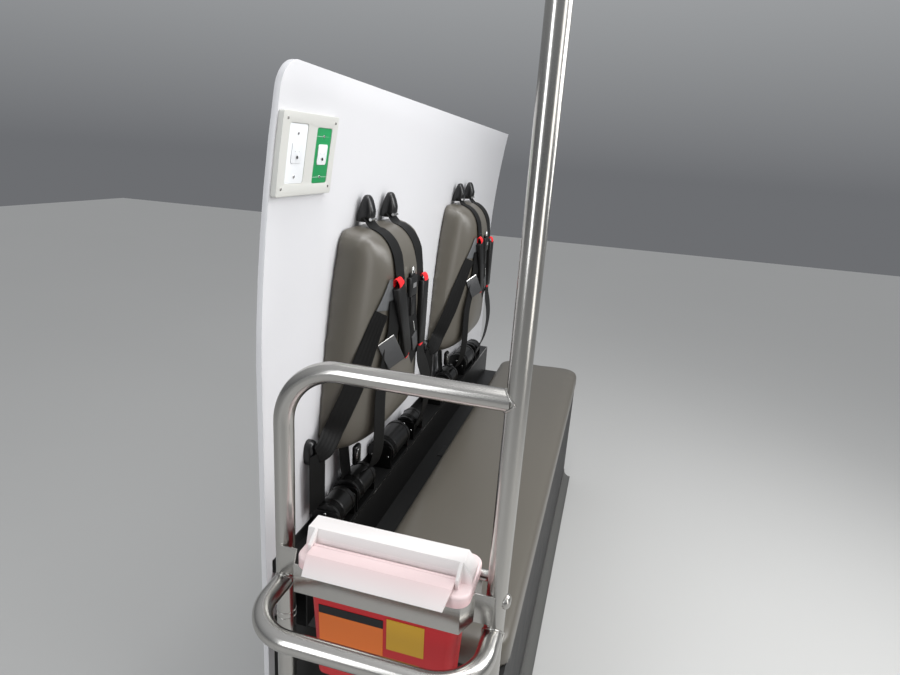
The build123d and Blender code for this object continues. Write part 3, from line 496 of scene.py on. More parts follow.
def inflate(node, name, pinned, cap, rounds, push, subdivide=False, drawn=None):
    """Cloth swollen from the inside, then evened out: pinned(point) holds what lies on a board.

    drawn(point) gives the x that a point is drawn to at the end, once the held rim is evened too.
    """
    obj = added(name, frame["nodes"][node].data.copy())
    remesh = obj.modifiers.new("even", "REMESH")
    remesh.mode = "VOXEL"
    remesh.voxel_size = VOXEL * MM
    even = applied(obj)
    held = [v.index for v in even.vertices if pinned(v.co)]
    free = sorted(set(range(len(even.vertices))) - set(held))
    smooth_out(obj, free, FIRST_ROUNDS)
    group = obj.vertex_groups.new(name="held")
    group.add(held, 1.0, "REPLACE")
    rest = [v.co.copy() for v in obj.data.vertices]
    cloth = obj.modifiers.new("swell", "CLOTH")
    cloth.settings.use_pressure = True
    cloth.settings.uniform_pressure_force = PRESSURE
    cloth.settings.effector_weights.gravity = 0.0
    cloth.settings.vertex_group_mass = group.name
    cloth.settings.bending_stiffness = BENDING
    cloth.settings.quality = CLOTH_QUALITY
    cloth.point_cache.frame_start = 1
    cloth.point_cache.frame_end = CLOTH_FRAMES
    for number in range(1, CLOTH_FRAMES + 1):
        bpy.context.scene.frame_set(number)
    even = applied(obj)
    bpy.context.scene.frame_set(1)
    for v, start in zip(even.vertices, rest):
        move = v.co - start
        if move.length > cap * MM:
            v.co = start + move.normalized() * cap * MM
    smooth_out(obj, free, rounds)
    grown = [v.co + v.normal * push * MM for v in obj.data.vertices]
    for number in free:
        obj.data.vertices[number].co = grown[number]
    if drawn:
        smooth_out(obj, held, RIM_ROUNDS, along_x=False)
    if subdivide:
        finer = obj.modifiers.new("finer", "SUBSURF")
        finer.levels = 1
        applied(obj)
    if drawn:
        for v in obj.data.vertices:
            v.co.x = drawn(v.co)
    data = obj.data
    bpy.data.objects.remove(obj)
    pad = place_mesh(data, name, SLOT_OF[node], BODY_OF[node], (node,), smooth_angle=180.0)
    return pad


def smooth_out(obj, numbers, rounds, along_x=True):
    """Evens out the vertices with these numbers in so many rounds."""
    built = bmesh.new()
    built.from_mesh(obj.data)
    built.verts.ensure_lookup_table()
    moving = [built.verts[number] for number in numbers]
    for _ in range(rounds):
        bmesh.ops.smooth_vert(built, verts=moving, factor=0.5, use_axis_x=along_x, use_axis_y=True,
                              use_axis_z=True)
    built.to_mesh(obj.data)
    built.free()


def applied(obj):
    """Replaces an object's mesh with what its modifiers make of it."""
    graph = bpy.context.evaluated_depsgraph_get()
    data = bpy.data.meshes.new_from_object(obj.evaluated_get(graph))
    obj.modifiers.clear()
    obj.data = data
    return data


def wall_at(z, out=0.0):
    """The x of a point out from the wall panel's face at a height."""
    rise = max(z - WALL_LEAN_Z, 0.0)
    return WALL_X + WALL_LEAN_R - math.sqrt((WALL_LEAN_R - out) ** 2 - rise**2)


# How far out from the wall, and up from its foot, a padded piece is held
HELD_OUT = 12.5
HELD_UP = 3.0


def on_board(point):
    return point.x / MM < wall_at(point.z / MM, HELD_OUT)


# Distances from the wall: of a solid pad's back, of the drawn pad's back, and where the drawing ends
PAD_BACK_OUT = 9.3
PAD_RIM_OUT = 0.5
DRAWN_OUT = 40.0


def round_board(point):
    """The x of a point on a pad once its cover is drawn round the board to the wall."""
    wall = wall_at(point.z / MM)
    depth = point.x / MM - wall
    if depth > DRAWN_OUT:
        return point.x
    stretch = (DRAWN_OUT - PAD_RIM_OUT) / (DRAWN_OUT - PAD_BACK_OUT)
    return (wall + max(DRAWN_OUT - (DRAWN_OUT - depth) * stretch, PAD_RIM_OUT)) * MM


cushion_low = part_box("bench_cushion")[0]


def on_lid(point):
    return point.z < cushion_low.z + HELD_UP * MM


inflate("bench_cushion", "bench_cushion_soft", on_lid, cap=4.0, rounds=14, push=0.6)
pads = []
for number, node in enumerate(PAD_NODES):
    pads.append(inflate(node, f"backrest_soft_{number}", on_board, cap=6.0, rounds=80, push=2.2,
                        subdivide=True, drawn=round_board))
pad_skins = []
for pad in pads:
    built = bmesh.new()
    built.from_mesh(pad.data)
    pad_skins.append(BVHTree.FromBMesh(built))
    built.free()


# How far back from a point the line towards the pad starts
RAY_BACK = 60.0


def against_pad(seat, point, toward, proud):
    """Where a line from the point towards the pad meets it, moved back out by proud."""
    direction = Vector(toward).normalized()
    start = Vector(point) - direction * RAY_BACK
    hit = pad_skins[seat].ray_cast(start * MM, direction)[0]
    if hit is None:
        return Vector(point)
    return hit / MM - direction * proud


TIGHTENING_ROUNDS = 60


def clear_of_pad(seat, path, acrosses, widths, normal, proud):
    """Moves a web's path out along the normal, tight over the pad, until its edges clear it too."""
    lifts = []
    for point, across, width in zip(path, acrosses, widths):
        lift = 0.0
        for share in (-0.5, -0.25, 0.0, 0.25, 0.5):
            place = point + across.normalized() * width * share
            lift = max(lift, (against_pad(seat, place, -normal, proud) - place).dot(normal))
        lifts.append(lift)
    for _ in range(TIGHTENING_ROUNDS):
        for i in range(1, len(lifts) - 1):
            lifts[i] = max(lifts[i], (lifts[i - 1] + lifts[i + 1]) / 2)
    return [point + normal * lift for point, lift in zip(path, lifts)]


# Harness

SHOULDER_OFFSET = 62.0
GUIDE_Z = 1140.0
# Rings of an upper guide: (height from its middle, half width, distances of its back and its front
# from the wall)
GUIDE_RINGS = [
    (-26.0, 12.5, 3.0, 27.0), (-24.5, 15.0, 0.5, 31.0), (-15.0, 16.5, 0.3, 36.0), (-4.0, 16.5, 2.0, 35.5),
    (7.0, 15.8, 4.5, 31.5), (15.0, 14.5, 7.0, 28.0), (21.0, 12.0, 8.5, 25.0), (24.8, 8.5, 10.5, 22.0),
    (26.4, 4.5, 13.0, 19.5),
]
GUIDE_SQUARENESS = 2.6
GUIDE_BAR_DROP = 20.0
GUIDE_BAR_OUT = 33.0
GUIDE_BAR_HALF = 13.0
GUIDE_BAR_R = 3.0


def upper_guides():
    shells = Shape()
    bars = Shape()
    for seat_y in SEAT_Y:
        for side in (-1, 1):
            y = seat_y + side * SHOULDER_OFFSET
            rings = []
            for rise, half_w, back, front in GUIDE_RINGS:
                z = GUIDE_Z + rise
                centre = Vector((wall_at(z) + (back + front) / 2, y, z))
                rings.append(oval(centre, BENCH, OUT, half_w, (front - back) / 2,
                                  GUIDE_SQUARENESS, BAR_POINTS))
            shells.loft(rings)
            bar_z = GUIDE_Z - GUIDE_BAR_DROP
            bar_x = wall_at(bar_z) + GUIDE_BAR_OUT
            ends = [Vector((bar_x, y + reach, bar_z)) for reach in (-GUIDE_BAR_HALF, GUIDE_BAR_HALF)]
            bars.tube(ends, GUIDE_BAR_R)
    shells.make("upper_guides", "guide_black", replaces=("shoulder_guides",), smooth_angle=50.0)
    bars.make("upper_guide_bars", "bright_steel", replaces=("guide_bars",))


# Shoulder webs below the pad's top: (share of the way from the guide's line to a side's shift, z)
SHOULDER_RUN = [(0.15, 1000.0), (0.45, 960.0), (0.75, 920.0), (1.0, 870.0)]
SHOULDER_SHIFT = {-1: 26.0, 1: 15.0}
# Where a shoulder web leaves its guide, lies on the pad's top, and turns over its upper edge
SHOULDER_START_OUT = 20.0
SHOULDER_START_DROP = 18.0
SHOULDER_TOP_X = (-368.0, -355.0)
SHOULDER_TURNS = (52, 36, 20, 6)
# How far the middle of a web lies out from what it lies on
WEB_PROUD = 1.4


def shoulder_webs():
    shape = Shape()
    for seat, seat_y in enumerate(SEAT_Y):
        for side in (-1, 1):
            y = seat_y + side * SHOULDER_OFFSET
            points = [Vector((wall_at(GUIDE_Z) + SHOULDER_START_OUT, y, GUIDE_Z - SHOULDER_START_DROP))]
            for x in SHOULDER_TOP_X:
                points.append(against_pad(seat, (x, y, PAD_TOP_Z), (0, 0, -1), WEB_PROUD))
            centre = Vector((PAD_FRONT_X - PAD_TOP_R, y, PAD_TOP_Z - PAD_TOP_R))
            for degrees in SHOULDER_TURNS:
                out = Vector((math.cos(math.radians(degrees)), 0, math.sin(math.radians(degrees))))
                points.append(against_pad(seat, centre + out * PAD_TOP_R, -out, WEB_PROUD))
            for share, z in SHOULDER_RUN:
                place = (PAD_FRONT_X, y + SHOULDER_SHIFT[side] * share, z)
                points.append(against_pad(seat, place, (-1, 0, 0), WEB_PROUD))
            web(shape, smooth_path(points, 5), BENCH)
    shape.make("shoulder_webs", "webbing_black", replaces=("shoulder_webbing",), smooth_angle=60.0)


# Each buckle sleeve: (top offset, top z, bottom offset, bottom z)
SLEEVES = [(-81.0, 1000.0, -18.0, 838.0), (80.0, 982.0, 77.0, 836.0)]
SLEEVE_X = -304.3
SLEEVE_FOOT_HALF_W = 19.35
SLEEVE_TAPER = 1.10
SLEEVE_HALF_T = 7.3
# The red loop rises from a sleeve's front and turns over to its back: (out from the middle, up)
LOOP_ARCH = [(5.8, -9.0), (6.3, 3.0), (1.8, 12.5), (-2.8, 12.5), (-5.8, 3.0), (-5.3, -6.0)]
LOOP_W = 25.0
LOOP_T = 2.6
# The red button at its foot: reach below and above the sleeve's end, half width, half thickness
BUTTON = (7.5, 1.5, 11.5, 4.4)


def buckle_sleeves():
    sleeves = Shape()
    red = Shape()
    for seat_y in SEAT_Y:
        for top_shift, top_z, low_shift, low_z in SLEEVES:
            top = Vector((SLEEVE_X, seat_y + top_shift, top_z))
            low = Vector((SLEEVE_X, seat_y + low_shift, low_z))
            up = (top - low).normalized()
            sleeves.rounded(low, top, BENCH, SLEEVE_FOOT_HALF_W, SLEEVE_HALF_T, taper=SLEEVE_TAPER,
                            power=4.5)
            arch = [top + Vector((out, 0, 0)) + up * rise for out, rise in LOOP_ARCH]
            web(red, smooth_path(arch, 6), BENCH, LOOP_W, thickness=LOOP_T, ribs=1, rib_height=0.2)
            below, above, half_w, half_t = BUTTON
            red.rounded(low - up * below, low + up * above, BENCH, half_w, half_t, power=4.0, edge=1.5)
    sleeves.make("sleeves", "buckle_black", replaces=("buckle_sleeves",), smooth_angle=50.0)
    red.make("red_releases", "release_red", replaces=("release_loops", "release_buttons"),
             smooth_angle=50.0)


# The buckle between the sleeves: its middle's x, and its shift along the bench
LATCH_X = -303.5
LATCH_SHIFT = -4.0
# Its blocks: (reach along the bench and z of the foot, the same of the top, half width, half
# thickness, squareness)
LATCH_BLOCKS = [
    ((2.0, 962.0), (0.0, 1004.0), 23.0, 6.5, 4.0),
    ((0.0, 1001.0), (0.0, 1011.0), 13.0, 4.5, 3.0),
    ((6.0, 918.0), (3.0, 960.0), 11.0, 4.5, 4.0),
]
# Its bright hook: (x, reach along the bench, z), and the bar's radius
HOOK = [
    (-302.0, -6.0, 1004.0), (-301.5, -6.0, 1016.0), (-301.5, 0.0, 1022.0), (-301.5, 6.0, 1016.0),
    (-302.0, 6.0, 1004.0),
]
HOOK_R = 2.2
# Its bright edge plate, as x, reach along the bench and z, and the bright bar under it, from foot to top
LATCH_EDGE = ((-297.6, -296.4), (-9.0, 11.0), (980.0, 990.0))
LATCH_BAR = [(-298.0, 17.0, 880.0), (-298.5, 7.0, 905.0)]
LATCH_BAR_HALVES = (2.2, 1.2)
# The web that it sits on: (offset from the seat's middle, z), and its width
MIDDLE_BELT = [(-2.0, 975.0), (4.0, 930.0), (14.0, 890.0), (30.0, 850.0), (52.0, 812.0)]
MIDDLE_BELT_W = 62.0
MIDDLE_PROUD = 1.8
# The plate near its foot: step from the web's fourth point to the plate's foot, its run, its halves
PLATE_STEP = (3.0, 4.0, -14.0)
PLATE_RUN = (0.0, -12.0, 34.0)
PLATE_HALVES = (15.0, 2.0)


def latch():
    """The buckle between the sleeves, its bright hook, and the web that it sits on."""
    housing = Shape()
    bright = Shape()
    belt = Shape()
    plates = Shape()
    for seat, seat_y in enumerate(SEAT_Y):
        y = seat_y + LATCH_SHIFT
        for (low_reach, low_z), (high_reach, high_z), half_w, half_t, power in LATCH_BLOCKS:
            low = Vector((LATCH_X, y + low_reach, low_z))
            high = Vector((LATCH_X, y + high_reach, high_z))
            housing.rounded(low, high, BENCH, half_w, half_t, power=power)
        bright.tube(smooth_path([(x, y + reach, z) for x, reach, z in HOOK], 6), HOOK_R)
        edge_x, edge_y, edge_z = LATCH_EDGE
        bright.box(edge_x, [y + reach for reach in edge_y], edge_z)
        foot, head = [Vector((x, y + reach, z)) for x, reach, z in LATCH_BAR]
        bright.rounded(foot, head, BENCH, *LATCH_BAR_HALVES)
        points = []
        for shift, z in MIDDLE_BELT:
            points.append(against_pad(seat, (PAD_FRONT_X, seat_y + shift, z), (-1, 0, 0), MIDDLE_PROUD))
        web(belt, smooth_path(points, 4), BENCH, MIDDLE_BELT_W)
        foot = points[3] + Vector(PLATE_STEP)
        plates.rounded(foot, foot + Vector(PLATE_RUN), BENCH, *PLATE_HALVES, power=6.0, edge=1.0)
    housing.make("latch_housings", "buckle_black", smooth_angle=50.0)
    bright.make("latch_hooks", "bright_steel", replaces=("latch_tongues",))
    belt.make("middle_belts", "webbing_black", smooth_angle=60.0)
    plates.make("middle_plates", "flap_grey", smooth_angle=50.0)


def side_plane(seat_y):
    """Start, direction along and outward normal of a pad's head-end side."""
    back = Vector((BOARD_FACE_X, seat_y - PAD_FOOT_W / 2, 0))
    front = Vector((PAD_FRONT_X, seat_y - PAD_FRONT_W / 2, 0))
    along = (front - back).normalized()
    return back, along, Vector((along.y, -along.x, 0))


LOWER_GUIDE_OFFSET = -246.0
LOWER_GUIDE_Z = 688.0
LOWER_GUIDE_FRONT = -402.0
# How a web lies across the pad's side: shares along the side and up
LAP_SLANT = (0.91, -0.41)
LAP_CLEAR = 1.3
TWIST_PROUD = 3.6
# Its start at the lower guide: (step from the guide's front, direction across the web, width)
LAP_START = [
    ((6.0, -1.0, -3.0), (0.10, 0.30, -0.95), 40.0), ((12.0, 20.0, 6.0), (0.40, 0.30, -0.87), 46.0),
]
# Steps from the guide's front of the web that drops to the retractor, and its direction across
DROP_WEB = [(6.0, 0.0, 0.0), (6.0, 0.0, -48.0), (4.0, 4.0, -122.0)]
DROP_ACROSS = (0.2, 1.0, 0.0)
# Lap web on the pad's side: (distance from the wall edge, z, stand-off, width, turn out of the side)
LAP_WEB = [
    (29.0, 716.0, 3.5, 47.0, 0.0), (46.0, 753.0, 2.0, 47.0, 0.0), (69.0, 800.0, 1.5, 46.0, 0.0),
    (86.0, 846.0, 1.5, 42.0, 0.1), (103.0, 892.0, 1.8, 34.0, 0.3), (116.0, 925.0, 2.2, 30.0, 0.4),
    (127.0, 948.0, 2.4, 28.0, 0.5),
]
# Where it turns over before the sleeve, in a lighter grey that is a painted sheen on the black web:
# (distance and z of its wall edge, offset along the bench and z of its edge at the sleeve)
TWIST = [
    (150.0, 1012.0, -99.0, 1013.0), (141.0, 990.0, -96.0, 996.0), (130.0, 967.0, -88.0, 978.0),
    (117.0, 941.0, -80.0, 958.0),
]
TWIST_SLEEVE_X = -311.0


def lap_webs():
    """From the lower guide up the pad's side to the sleeve, with a twist there in a lighter grey: a painted
    sheen.
    """
    black = Shape()
    grey = Shape()
    steps = 6
    for seat, seat_y in enumerate(SEAT_Y):
        back, along, normal = side_plane(seat_y)
        guide = Vector((LOWER_GUIDE_FRONT, seat_y + LOWER_GUIDE_OFFSET, LOWER_GUIDE_Z))
        slant = (along * LAP_SLANT[0] + UP * LAP_SLANT[1]).normalized()
        points = []
        acrosses = []
        widths = []
        for step, across, width in LAP_START:
            points.append(guide + Vector(step))
            acrosses.append(Vector(across))
            widths.append(width)
        for distance, z, proud, width, turn in LAP_WEB:
            points.append(against_pad(seat, back + along * distance + UP * z, -normal, proud))
            acrosses.append((slant + normal * turn).normalized())
            widths.append(width)
        acrosses = between(acrosses, steps)
        widths = between(widths, steps)
        path = clear_of_pad(seat, smooth_path(points, steps), acrosses, widths, normal, LAP_CLEAR)
        web(black, path, acrosses, widths)
        drop = smooth_path([guide + Vector(step) for step in DROP_WEB], 5)
        web(black, drop, Vector(DROP_ACROSS))
        middles = []
        spans = []
        for distance, z, shift, sleeve_z in TWIST:
            wall_edge = against_pad(seat, back + along * distance + UP * z, -normal, TWIST_PROUD)
            sleeve_edge = Vector((TWIST_SLEEVE_X, seat_y + shift, sleeve_z))
            middles.append((wall_edge + sleeve_edge) / 2)
            spans.append(sleeve_edge - wall_edge)
        web(grey, smooth_path(middles, steps), between(spans, steps),
            between([span.length for span in spans], steps))
    black.make("lap_webs", "webbing_black", replaces=("lap_webbing",), smooth_angle=60.0)
    # The twist's lighter grey is a painted sheen on the black web.
    grey.make("web_twists", "twist_sheen_grey", smooth_angle=60.0)


# Adjuster flap on the pad's side: (distance from the wall edge, z) of its top and foot, and stand-off
FLAP_TOP = (141.0, 890.0)
FLAP_FOOT = (169.0, 836.0)
FLAP_OUT = 7.0
FLAP_HALF_W = 21.0
FLAP_HALF_T = 1.6
FLAP_RIM_HALF = 19.5
FLAP_RIM_R = 1.4


def flaps():
    """Grey adjuster flaps with a bright top edge, hanging at the pad's front corner."""
    grey = Shape()
    bright = Shape()
    for seat_y in SEAT_Y:
        back, along, normal = side_plane(seat_y)
        top = back + along * FLAP_TOP[0] + normal * FLAP_OUT + UP * FLAP_TOP[1]
        foot = back + along * FLAP_FOOT[0] + normal * FLAP_OUT + UP * FLAP_FOOT[1]
        drop = (top - foot).normalized()
        wide = (along - drop * along.dot(drop)).normalized()
        grey.rounded(foot, top, along, FLAP_HALF_W, FLAP_HALF_T, power=9.0, edge=0.8)
        rim = [top + wide * reach - drop * 0.5 for reach in (-FLAP_RIM_HALF, FLAP_RIM_HALF)]
        bright.tube(rim, FLAP_RIM_R)
    grey.make("flaps", "flap_grey", replaces=("adjuster_flaps",), smooth_angle=50.0)
    bright.make("flap_edges", "bright_steel")


# Rings of a lower guide: (distance from the wall's face, share of its full width and height)
LOWER_RINGS = [(0.0, 1.0), (9.0, 1.0), (14.0, 0.92), (16.0, 0.78)]
LOWER_HALF_W = 16.0
LOWER_HALF_H = 26.0
LOWER_SQUARENESS = 2.4
# Its bright bar: distance from the wall, drop below its middle, half length, radius
LOWER_BAR = (15.5, 13.0, 8.0, 2.0)


def lower_guides():
    shells = Shape()
    rims = Shape()
    for seat_y in SEAT_Y:
        y = seat_y + LOWER_GUIDE_OFFSET
        middle = Vector((0, y, LOWER_GUIDE_Z))
        rings = []
        for out, share in LOWER_RINGS:
            centre = middle + Vector((WALL_X + out, 0, 0))
            rings.append(oval(centre, BENCH, UP, LOWER_HALF_W * share,
                              LOWER_HALF_H * share, LOWER_SQUARENESS, LOWER_GUIDE_POINTS))
        shells.loft(rings)
        out, drop, half, radius = LOWER_BAR
        bar = [middle + Vector((WALL_X + out, reach, -drop)) for reach in (-half, half)]
        rims.tube(bar, radius)
    shells.make("lower_guide_shells", "guide_black", replaces=("lower_guides",), smooth_angle=50.0)
    rims.make("lower_guide_bars", "bright_steel")


# Slack belt at each seat's foot end: (x, offset along the bench, z)
SLACK_BELT = [
    (-303.5, 77.0, 831.0), (-302.0, 80.0, 800.0), (-303.0, 124.0, 750.0), (-310.0, 174.0, 688.0),
    (-328.0, 220.0, 612.0), (-349.0, 246.0, 562.0), (-355.5, 252.0, 549.0),
]
# Belt that hangs from behind the head-end sleeve, past the flap, to the retractors
HANGING_BELT = [
    (-309.5, -84.0, 968.0), (-310.0, -84.0, 938.0), (-310.5, -86.0, 905.0), (-314.0, -98.0, 862.0),
    (-320.5, -117.0, 784.0), (-320.5, -119.0, 697.0), (-327.0, -108.0, 640.0), (-345.0, -90.0, 594.0),
    (-368.0, -82.0, 573.0),
]
# Belt that comes down behind the pad to the second retractor
HIDDEN_BELT = [(-403.0, -120.0, 690.0), (-400.0, -120.0, 650.0), (-393.0, -118.0, 574.0)]
HANGING_W = 36.0
HANGING_ACROSS = (0.25, 0.97, 0.0)
HIDDEN_W = 44.0


def hanging_belts():
    shape = Shape()
    belts = ((SLACK_BELT, WEB_W, BENCH), (HANGING_BELT, HANGING_W, Vector(HANGING_ACROSS)),
             (HIDDEN_BELT, HIDDEN_W, BENCH))
    for seat_y in SEAT_Y:
        for belt, width, across in belts:
            points = [Vector((x, seat_y + shift, z)) for x, shift, z in belt]
            web(shape, smooth_path(points, 6), across, width)
    shape.make("hanging_belts", "webbing_black", replaces=("slack_webbing",), smooth_angle=60.0)


# Belt retractors on the rail deck: (offset along the bench, length, radius)
RETRACTOR_X = -381.0
RETRACTORS = [(-200.0, 78.0, 29.0), (-100.0, 92.0, 31.0), (112.0, 120.0, 33.0), (258.0, 70.0, 27.0)]
RETRACTOR_LIFT = 7.0
# Side view of a cover: (distance from its low end, share of the radius), the ribs round that end,
# and the same from its high end
COVER_START = [(0.3, 0.90), (1.5, 1.0), (6.0, 1.0)]
COVER_RIBS = 5
FIRST_RIB = 8.0
RIB_PITCH = 3.4
RIB = [(0.0, 1.0), (0.6, 0.94), (1.6, 0.94), (2.2, 1.0)]
COVER_MIDDLE = [(27.0, 1.02), (28.0, 0.97)]
COVER_END = [(-12.0, 0.97), (-11.0, 1.02), (-1.5, 1.02), (-0.3, 0.92)]
# Screws in the bracket's ends, (along x, up) from the spool's middle, and in its foot, along x
BRACKET_GAP = 3.0
END_SCREWS = ((-19.0, -8.0), (19.0, -8.0), (0.0, 10.0))
END_SCREW = (3.2, 1.6)
FOOT_SCREWS = (-18.0, 18.0)
FOOT_SCREW = (3.0, 2.0)
FOOT_SCREW_IN = 5.0
FOOT_SCREW_UP = 3.2
# Belt loop of a group: middle from the seat's, drop and rise of its ends, halves of its section
BELT_LOOP = (-385.0, -84.0, 612.0)
BELT_LOOP_ENDS = (-24.0, 22.0)
BELT_LOOP_HALVES = (15.0, 7.0)
# Its bright rim: step from the loop's middle, halves of the ring, and the bar's radius
LOOP_RIM_STEP = (5.5, -2.0, -2.0)
LOOP_RIM_HALVES = (9.5, 17.0)
LOOP_RIM_R = 1.6


def retractor_details():
    """Ribbed covers over the spools, screws in the brackets and a belt loop on each group."""
    covers = Shape()
    screws = Shape()
    loops = Shape()
    rims = Shape()
    for seat_y in SEAT_Y:
        for shift, length, radius in RETRACTORS:
            y = seat_y + shift
            z = RAIL_DECK_Z + RETRACTOR_LIFT + radius
            low = y - length / 2
            rings = []
            stations = list(COVER_START)
            for rib in range(COVER_RIBS):
                stations += [(FIRST_RIB + RIB_PITCH * rib + along, share) for along, share in RIB]
            stations += COVER_MIDDLE
            stations += [(length + along, share) for along, share in COVER_END]
            for along, share in stations:
                middle = Vector((RETRACTOR_X, low + along, z))
                rings.append(oval(middle, OUT, UP, radius * share, radius * share, ROUND, COVER_POINTS))
            covers.loft(rings)
            for end, outward in ((low - BRACKET_GAP, -1), (low + length + BRACKET_GAP, 1)):
                for dx, dz in END_SCREWS:
                    at = Vector((RETRACTOR_X + dx, end, z + dz))
                    screws.disc(at, BENCH * outward, *END_SCREW)
            for dx in FOOT_SCREWS:
                at = Vector((RETRACTOR_X + dx, low + FOOT_SCREW_IN, RAIL_DECK_Z + FOOT_SCREW_UP))
                screws.disc(at, UP, *FOOT_SCREW)
        middle = Vector(BELT_LOOP) + Vector((0, seat_y, 0))
        low, high = [middle + UP * reach for reach in BELT_LOOP_ENDS]
        loops.rounded(low, high, BENCH, *BELT_LOOP_HALVES, power=2.6, edge=5.0)
        ring = oval(middle + Vector(LOOP_RIM_STEP), BENCH, UP, *LOOP_RIM_HALVES, ROUND, BAR_POINTS)
        rims.tube(ring, LOOP_RIM_R, closed=True)
    covers.make("retractor_covers", "retractor_black", replaces=("retractor_spools",))
    screws.make("retractor_screws", "bright_steel")
    loops.make("belt_loops", "guide_black", smooth_angle=50.0)
    rims.make("belt_loop_rims", "bright_steel")


# Outlet, rail and tube details

OUTLET_SCREWS = [(55.5, 1189.0), (207.5, 1189.0), (55.5, 1290.0), (207.5, 1290.0)]
PLATE_SCREWS = [(91.0, 1206.5), (91.0, 1270.0), (174.5, 1204.5), (174.5, 1268.0)]
OUTLET_PROUD = 9.0
PLATE_PROUD = 8.0
SOCKET_PROUD = 9.5
SOCKET_PINS = [(92.0, 1242.0), (174.5, 1239.8)]
# Radius and height of the screws
OUTLET_SCREW = (2.3, 0.9)
PLATE_SCREW = (2.6, 1.2)
# A socket's two slots, as x from its face, reach along the bench and z, and its round hole, all flat black
# patches that paint the shade inside the openings
SLOT_X = (-0.3, 0.25)
SLOT_OFFSETS = (-6.0, 6.0)
SLOT_HALF_W = 0.9
SLOT_RISE = (1.0, 8.5)
HOLE_X = (0.1, 0.3)
HOLE_DROP = 7.0
HOLE_R = 2.5
HOLE_POINTS = 16
# The lines beside the green plate's screws, as x from its face, y, and half height
LINE_X = (-0.4, 0.12)
LINE_Y = ((150.5, 170.5), (178.5, 198.5))
LINE_HALF_H = 0.4


def outlet_details():
    screws = Shape()
    bright = Shape()
    dark = Shape()
    lines = Shape()
    for y, z in OUTLET_SCREWS:
        screws.disc(Vector((wall_at(z, OUTLET_PROUD), y, z)), OUT, *OUTLET_SCREW)
    for y, z in PLATE_SCREWS:
        bright.disc(Vector((wall_at(z, PLATE_PROUD), y, z)), OUT, *PLATE_SCREW)
    for y, z in SOCKET_PINS:
        face = wall_at(z, SOCKET_PROUD)
        depth = [face + reach for reach in SLOT_X]
        for dy in SLOT_OFFSETS:
            dark.box(depth, (y + dy - SLOT_HALF_W, y + dy + SLOT_HALF_W), [z + rise for rise in SLOT_RISE])
        rings = []
        for reach in HOLE_X:
            middle = Vector((face + reach, y, z - HOLE_DROP))
            rings.append(oval(middle, BENCH, UP, HOLE_R, HOLE_R, ROUND, HOLE_POINTS))
        dark.loft(rings)
    for y, z in PLATE_SCREWS[2:]:
        face = wall_at(z, PLATE_PROUD)
        depth = [face + reach for reach in LINE_X]
        for span in LINE_Y:
            lines.box(depth, span, (z - LINE_HALF_H, z + LINE_HALF_H))
    screws.make("outlet_screws", "stainless")
    bright.make("plate_screws", "bright_steel")
    # The slots and hole are painted shade: flat black patches, not openings.
    dark.make("socket_slots", "buckle_black")
    lines.make("plate_lines", "plate_white")


LIP_X = (RAIL_LIP_X - 1.6, RAIL_LIP_X + 0.5)
LIP_Z = (RAIL_DECK_Z - 1.2, RAIL_DECK_Z + 0.5)


def rail_lip():
    """The belt rail's deck edge: a bright steel strip along it."""
    lip = Shape()
    lip.box(LIP_X, BENCH_Y, LIP_Z)
    lip.make("rail_lip", "stainless")


# The hood's lip over its mouth, in (y, z)
HOOD_LIP = [(-25.2, 660.5), (-23.2, 668.0), (-21.6, 668.0), (-23.6, 660.5)]
HOOD_LIP_X = (-290.0, -64.0)


def hood_lip():
    lip = Shape()
    lip.loft([[Vector((x, y, z)) for y, z in HOOD_LIP] for x in HOOD_LIP_X])
    lip.make("hood_lip", "sharps_white", body="sharps_container")


# Weld beads: how far their middle lies out from the tube, radius, and steps round a tube and a bead
BEAD_OUT = 0.3
BEAD_R = 1.7
BEAD_STEPS = 48
BEAD_SIDES = 8
# The coupling's two seams in the rail's upright
SEAM_Z = (487.0, 498.0)
SEAM_R = 0.9


def tube_details():
    """Weld beads where tubes meet, and the coupling in the rail's upright."""
    beads = Shape()
    turns = [2 * math.pi * i / BEAD_STEPS for i in range(BEAD_STEPS)]
    reach = TUBE_R + BEAD_OUT
    ring = [Vector((-reach * abs(math.cos(a)), reach * math.sin(a), RAIL_Z + reach * math.cos(a)))
            for a in turns]
    beads.tube(ring, BEAD_R, BEAD_SIDES, closed=True)
    for x in (0.0, -RAIL_SPAN):
        ring = [Vector((x + reach * math.sin(a), -reach * abs(math.cos(a)), HOOP_Z + reach * math.cos(a)))
                for a in turns]
        beads.tube(ring, BEAD_R, BEAD_SIDES, closed=True)
    for z in SEAM_Z:
        ring = [Vector((-RAIL_SPAN + TUBE_R * math.cos(a), TUBE_R * math.sin(a), z)) for a in turns]
        beads.tube(ring, SEAM_R, BEAD_SIDES, closed=True)
    beads.make("weld_beads", "stainless", smooth_angle=80.0)


upper_guides()
shoulder_webs()
buckle_sleeves()
latch()
lap_webs()
flaps()
lower_guides()
hanging_belts()
retractor_details()
outlet_details()
rail_lip()
hood_lip()
tube_details()

# CAD pieces whose edges are rounded a little, with the rounding's width
SOFT_EDGES = [
    ("container_lid", 1.6), ("container_body", 0.8), ("outlet_box", 0.8),
    ("outlet_plate_white", 0.3), ("outlet_plate_green", 0.3), ("outlet_sockets", 0.4),
    ("bracket_band", 0.4), ("hanger_plate", 0.4), ("retractor_brackets", 0.5), ("wall_panel", 0.8),
    ("belt_rail", 0.6), ("stanchion_cap", 0.5),
]
for node, width in SOFT_EDGES:
    softened(node, width)
softened("drop_tray", 0.7, look="tray_white")


# Floor, light and camera

# Reach of the floor from the origin, in metres
FLOOR_REACH = 9.0


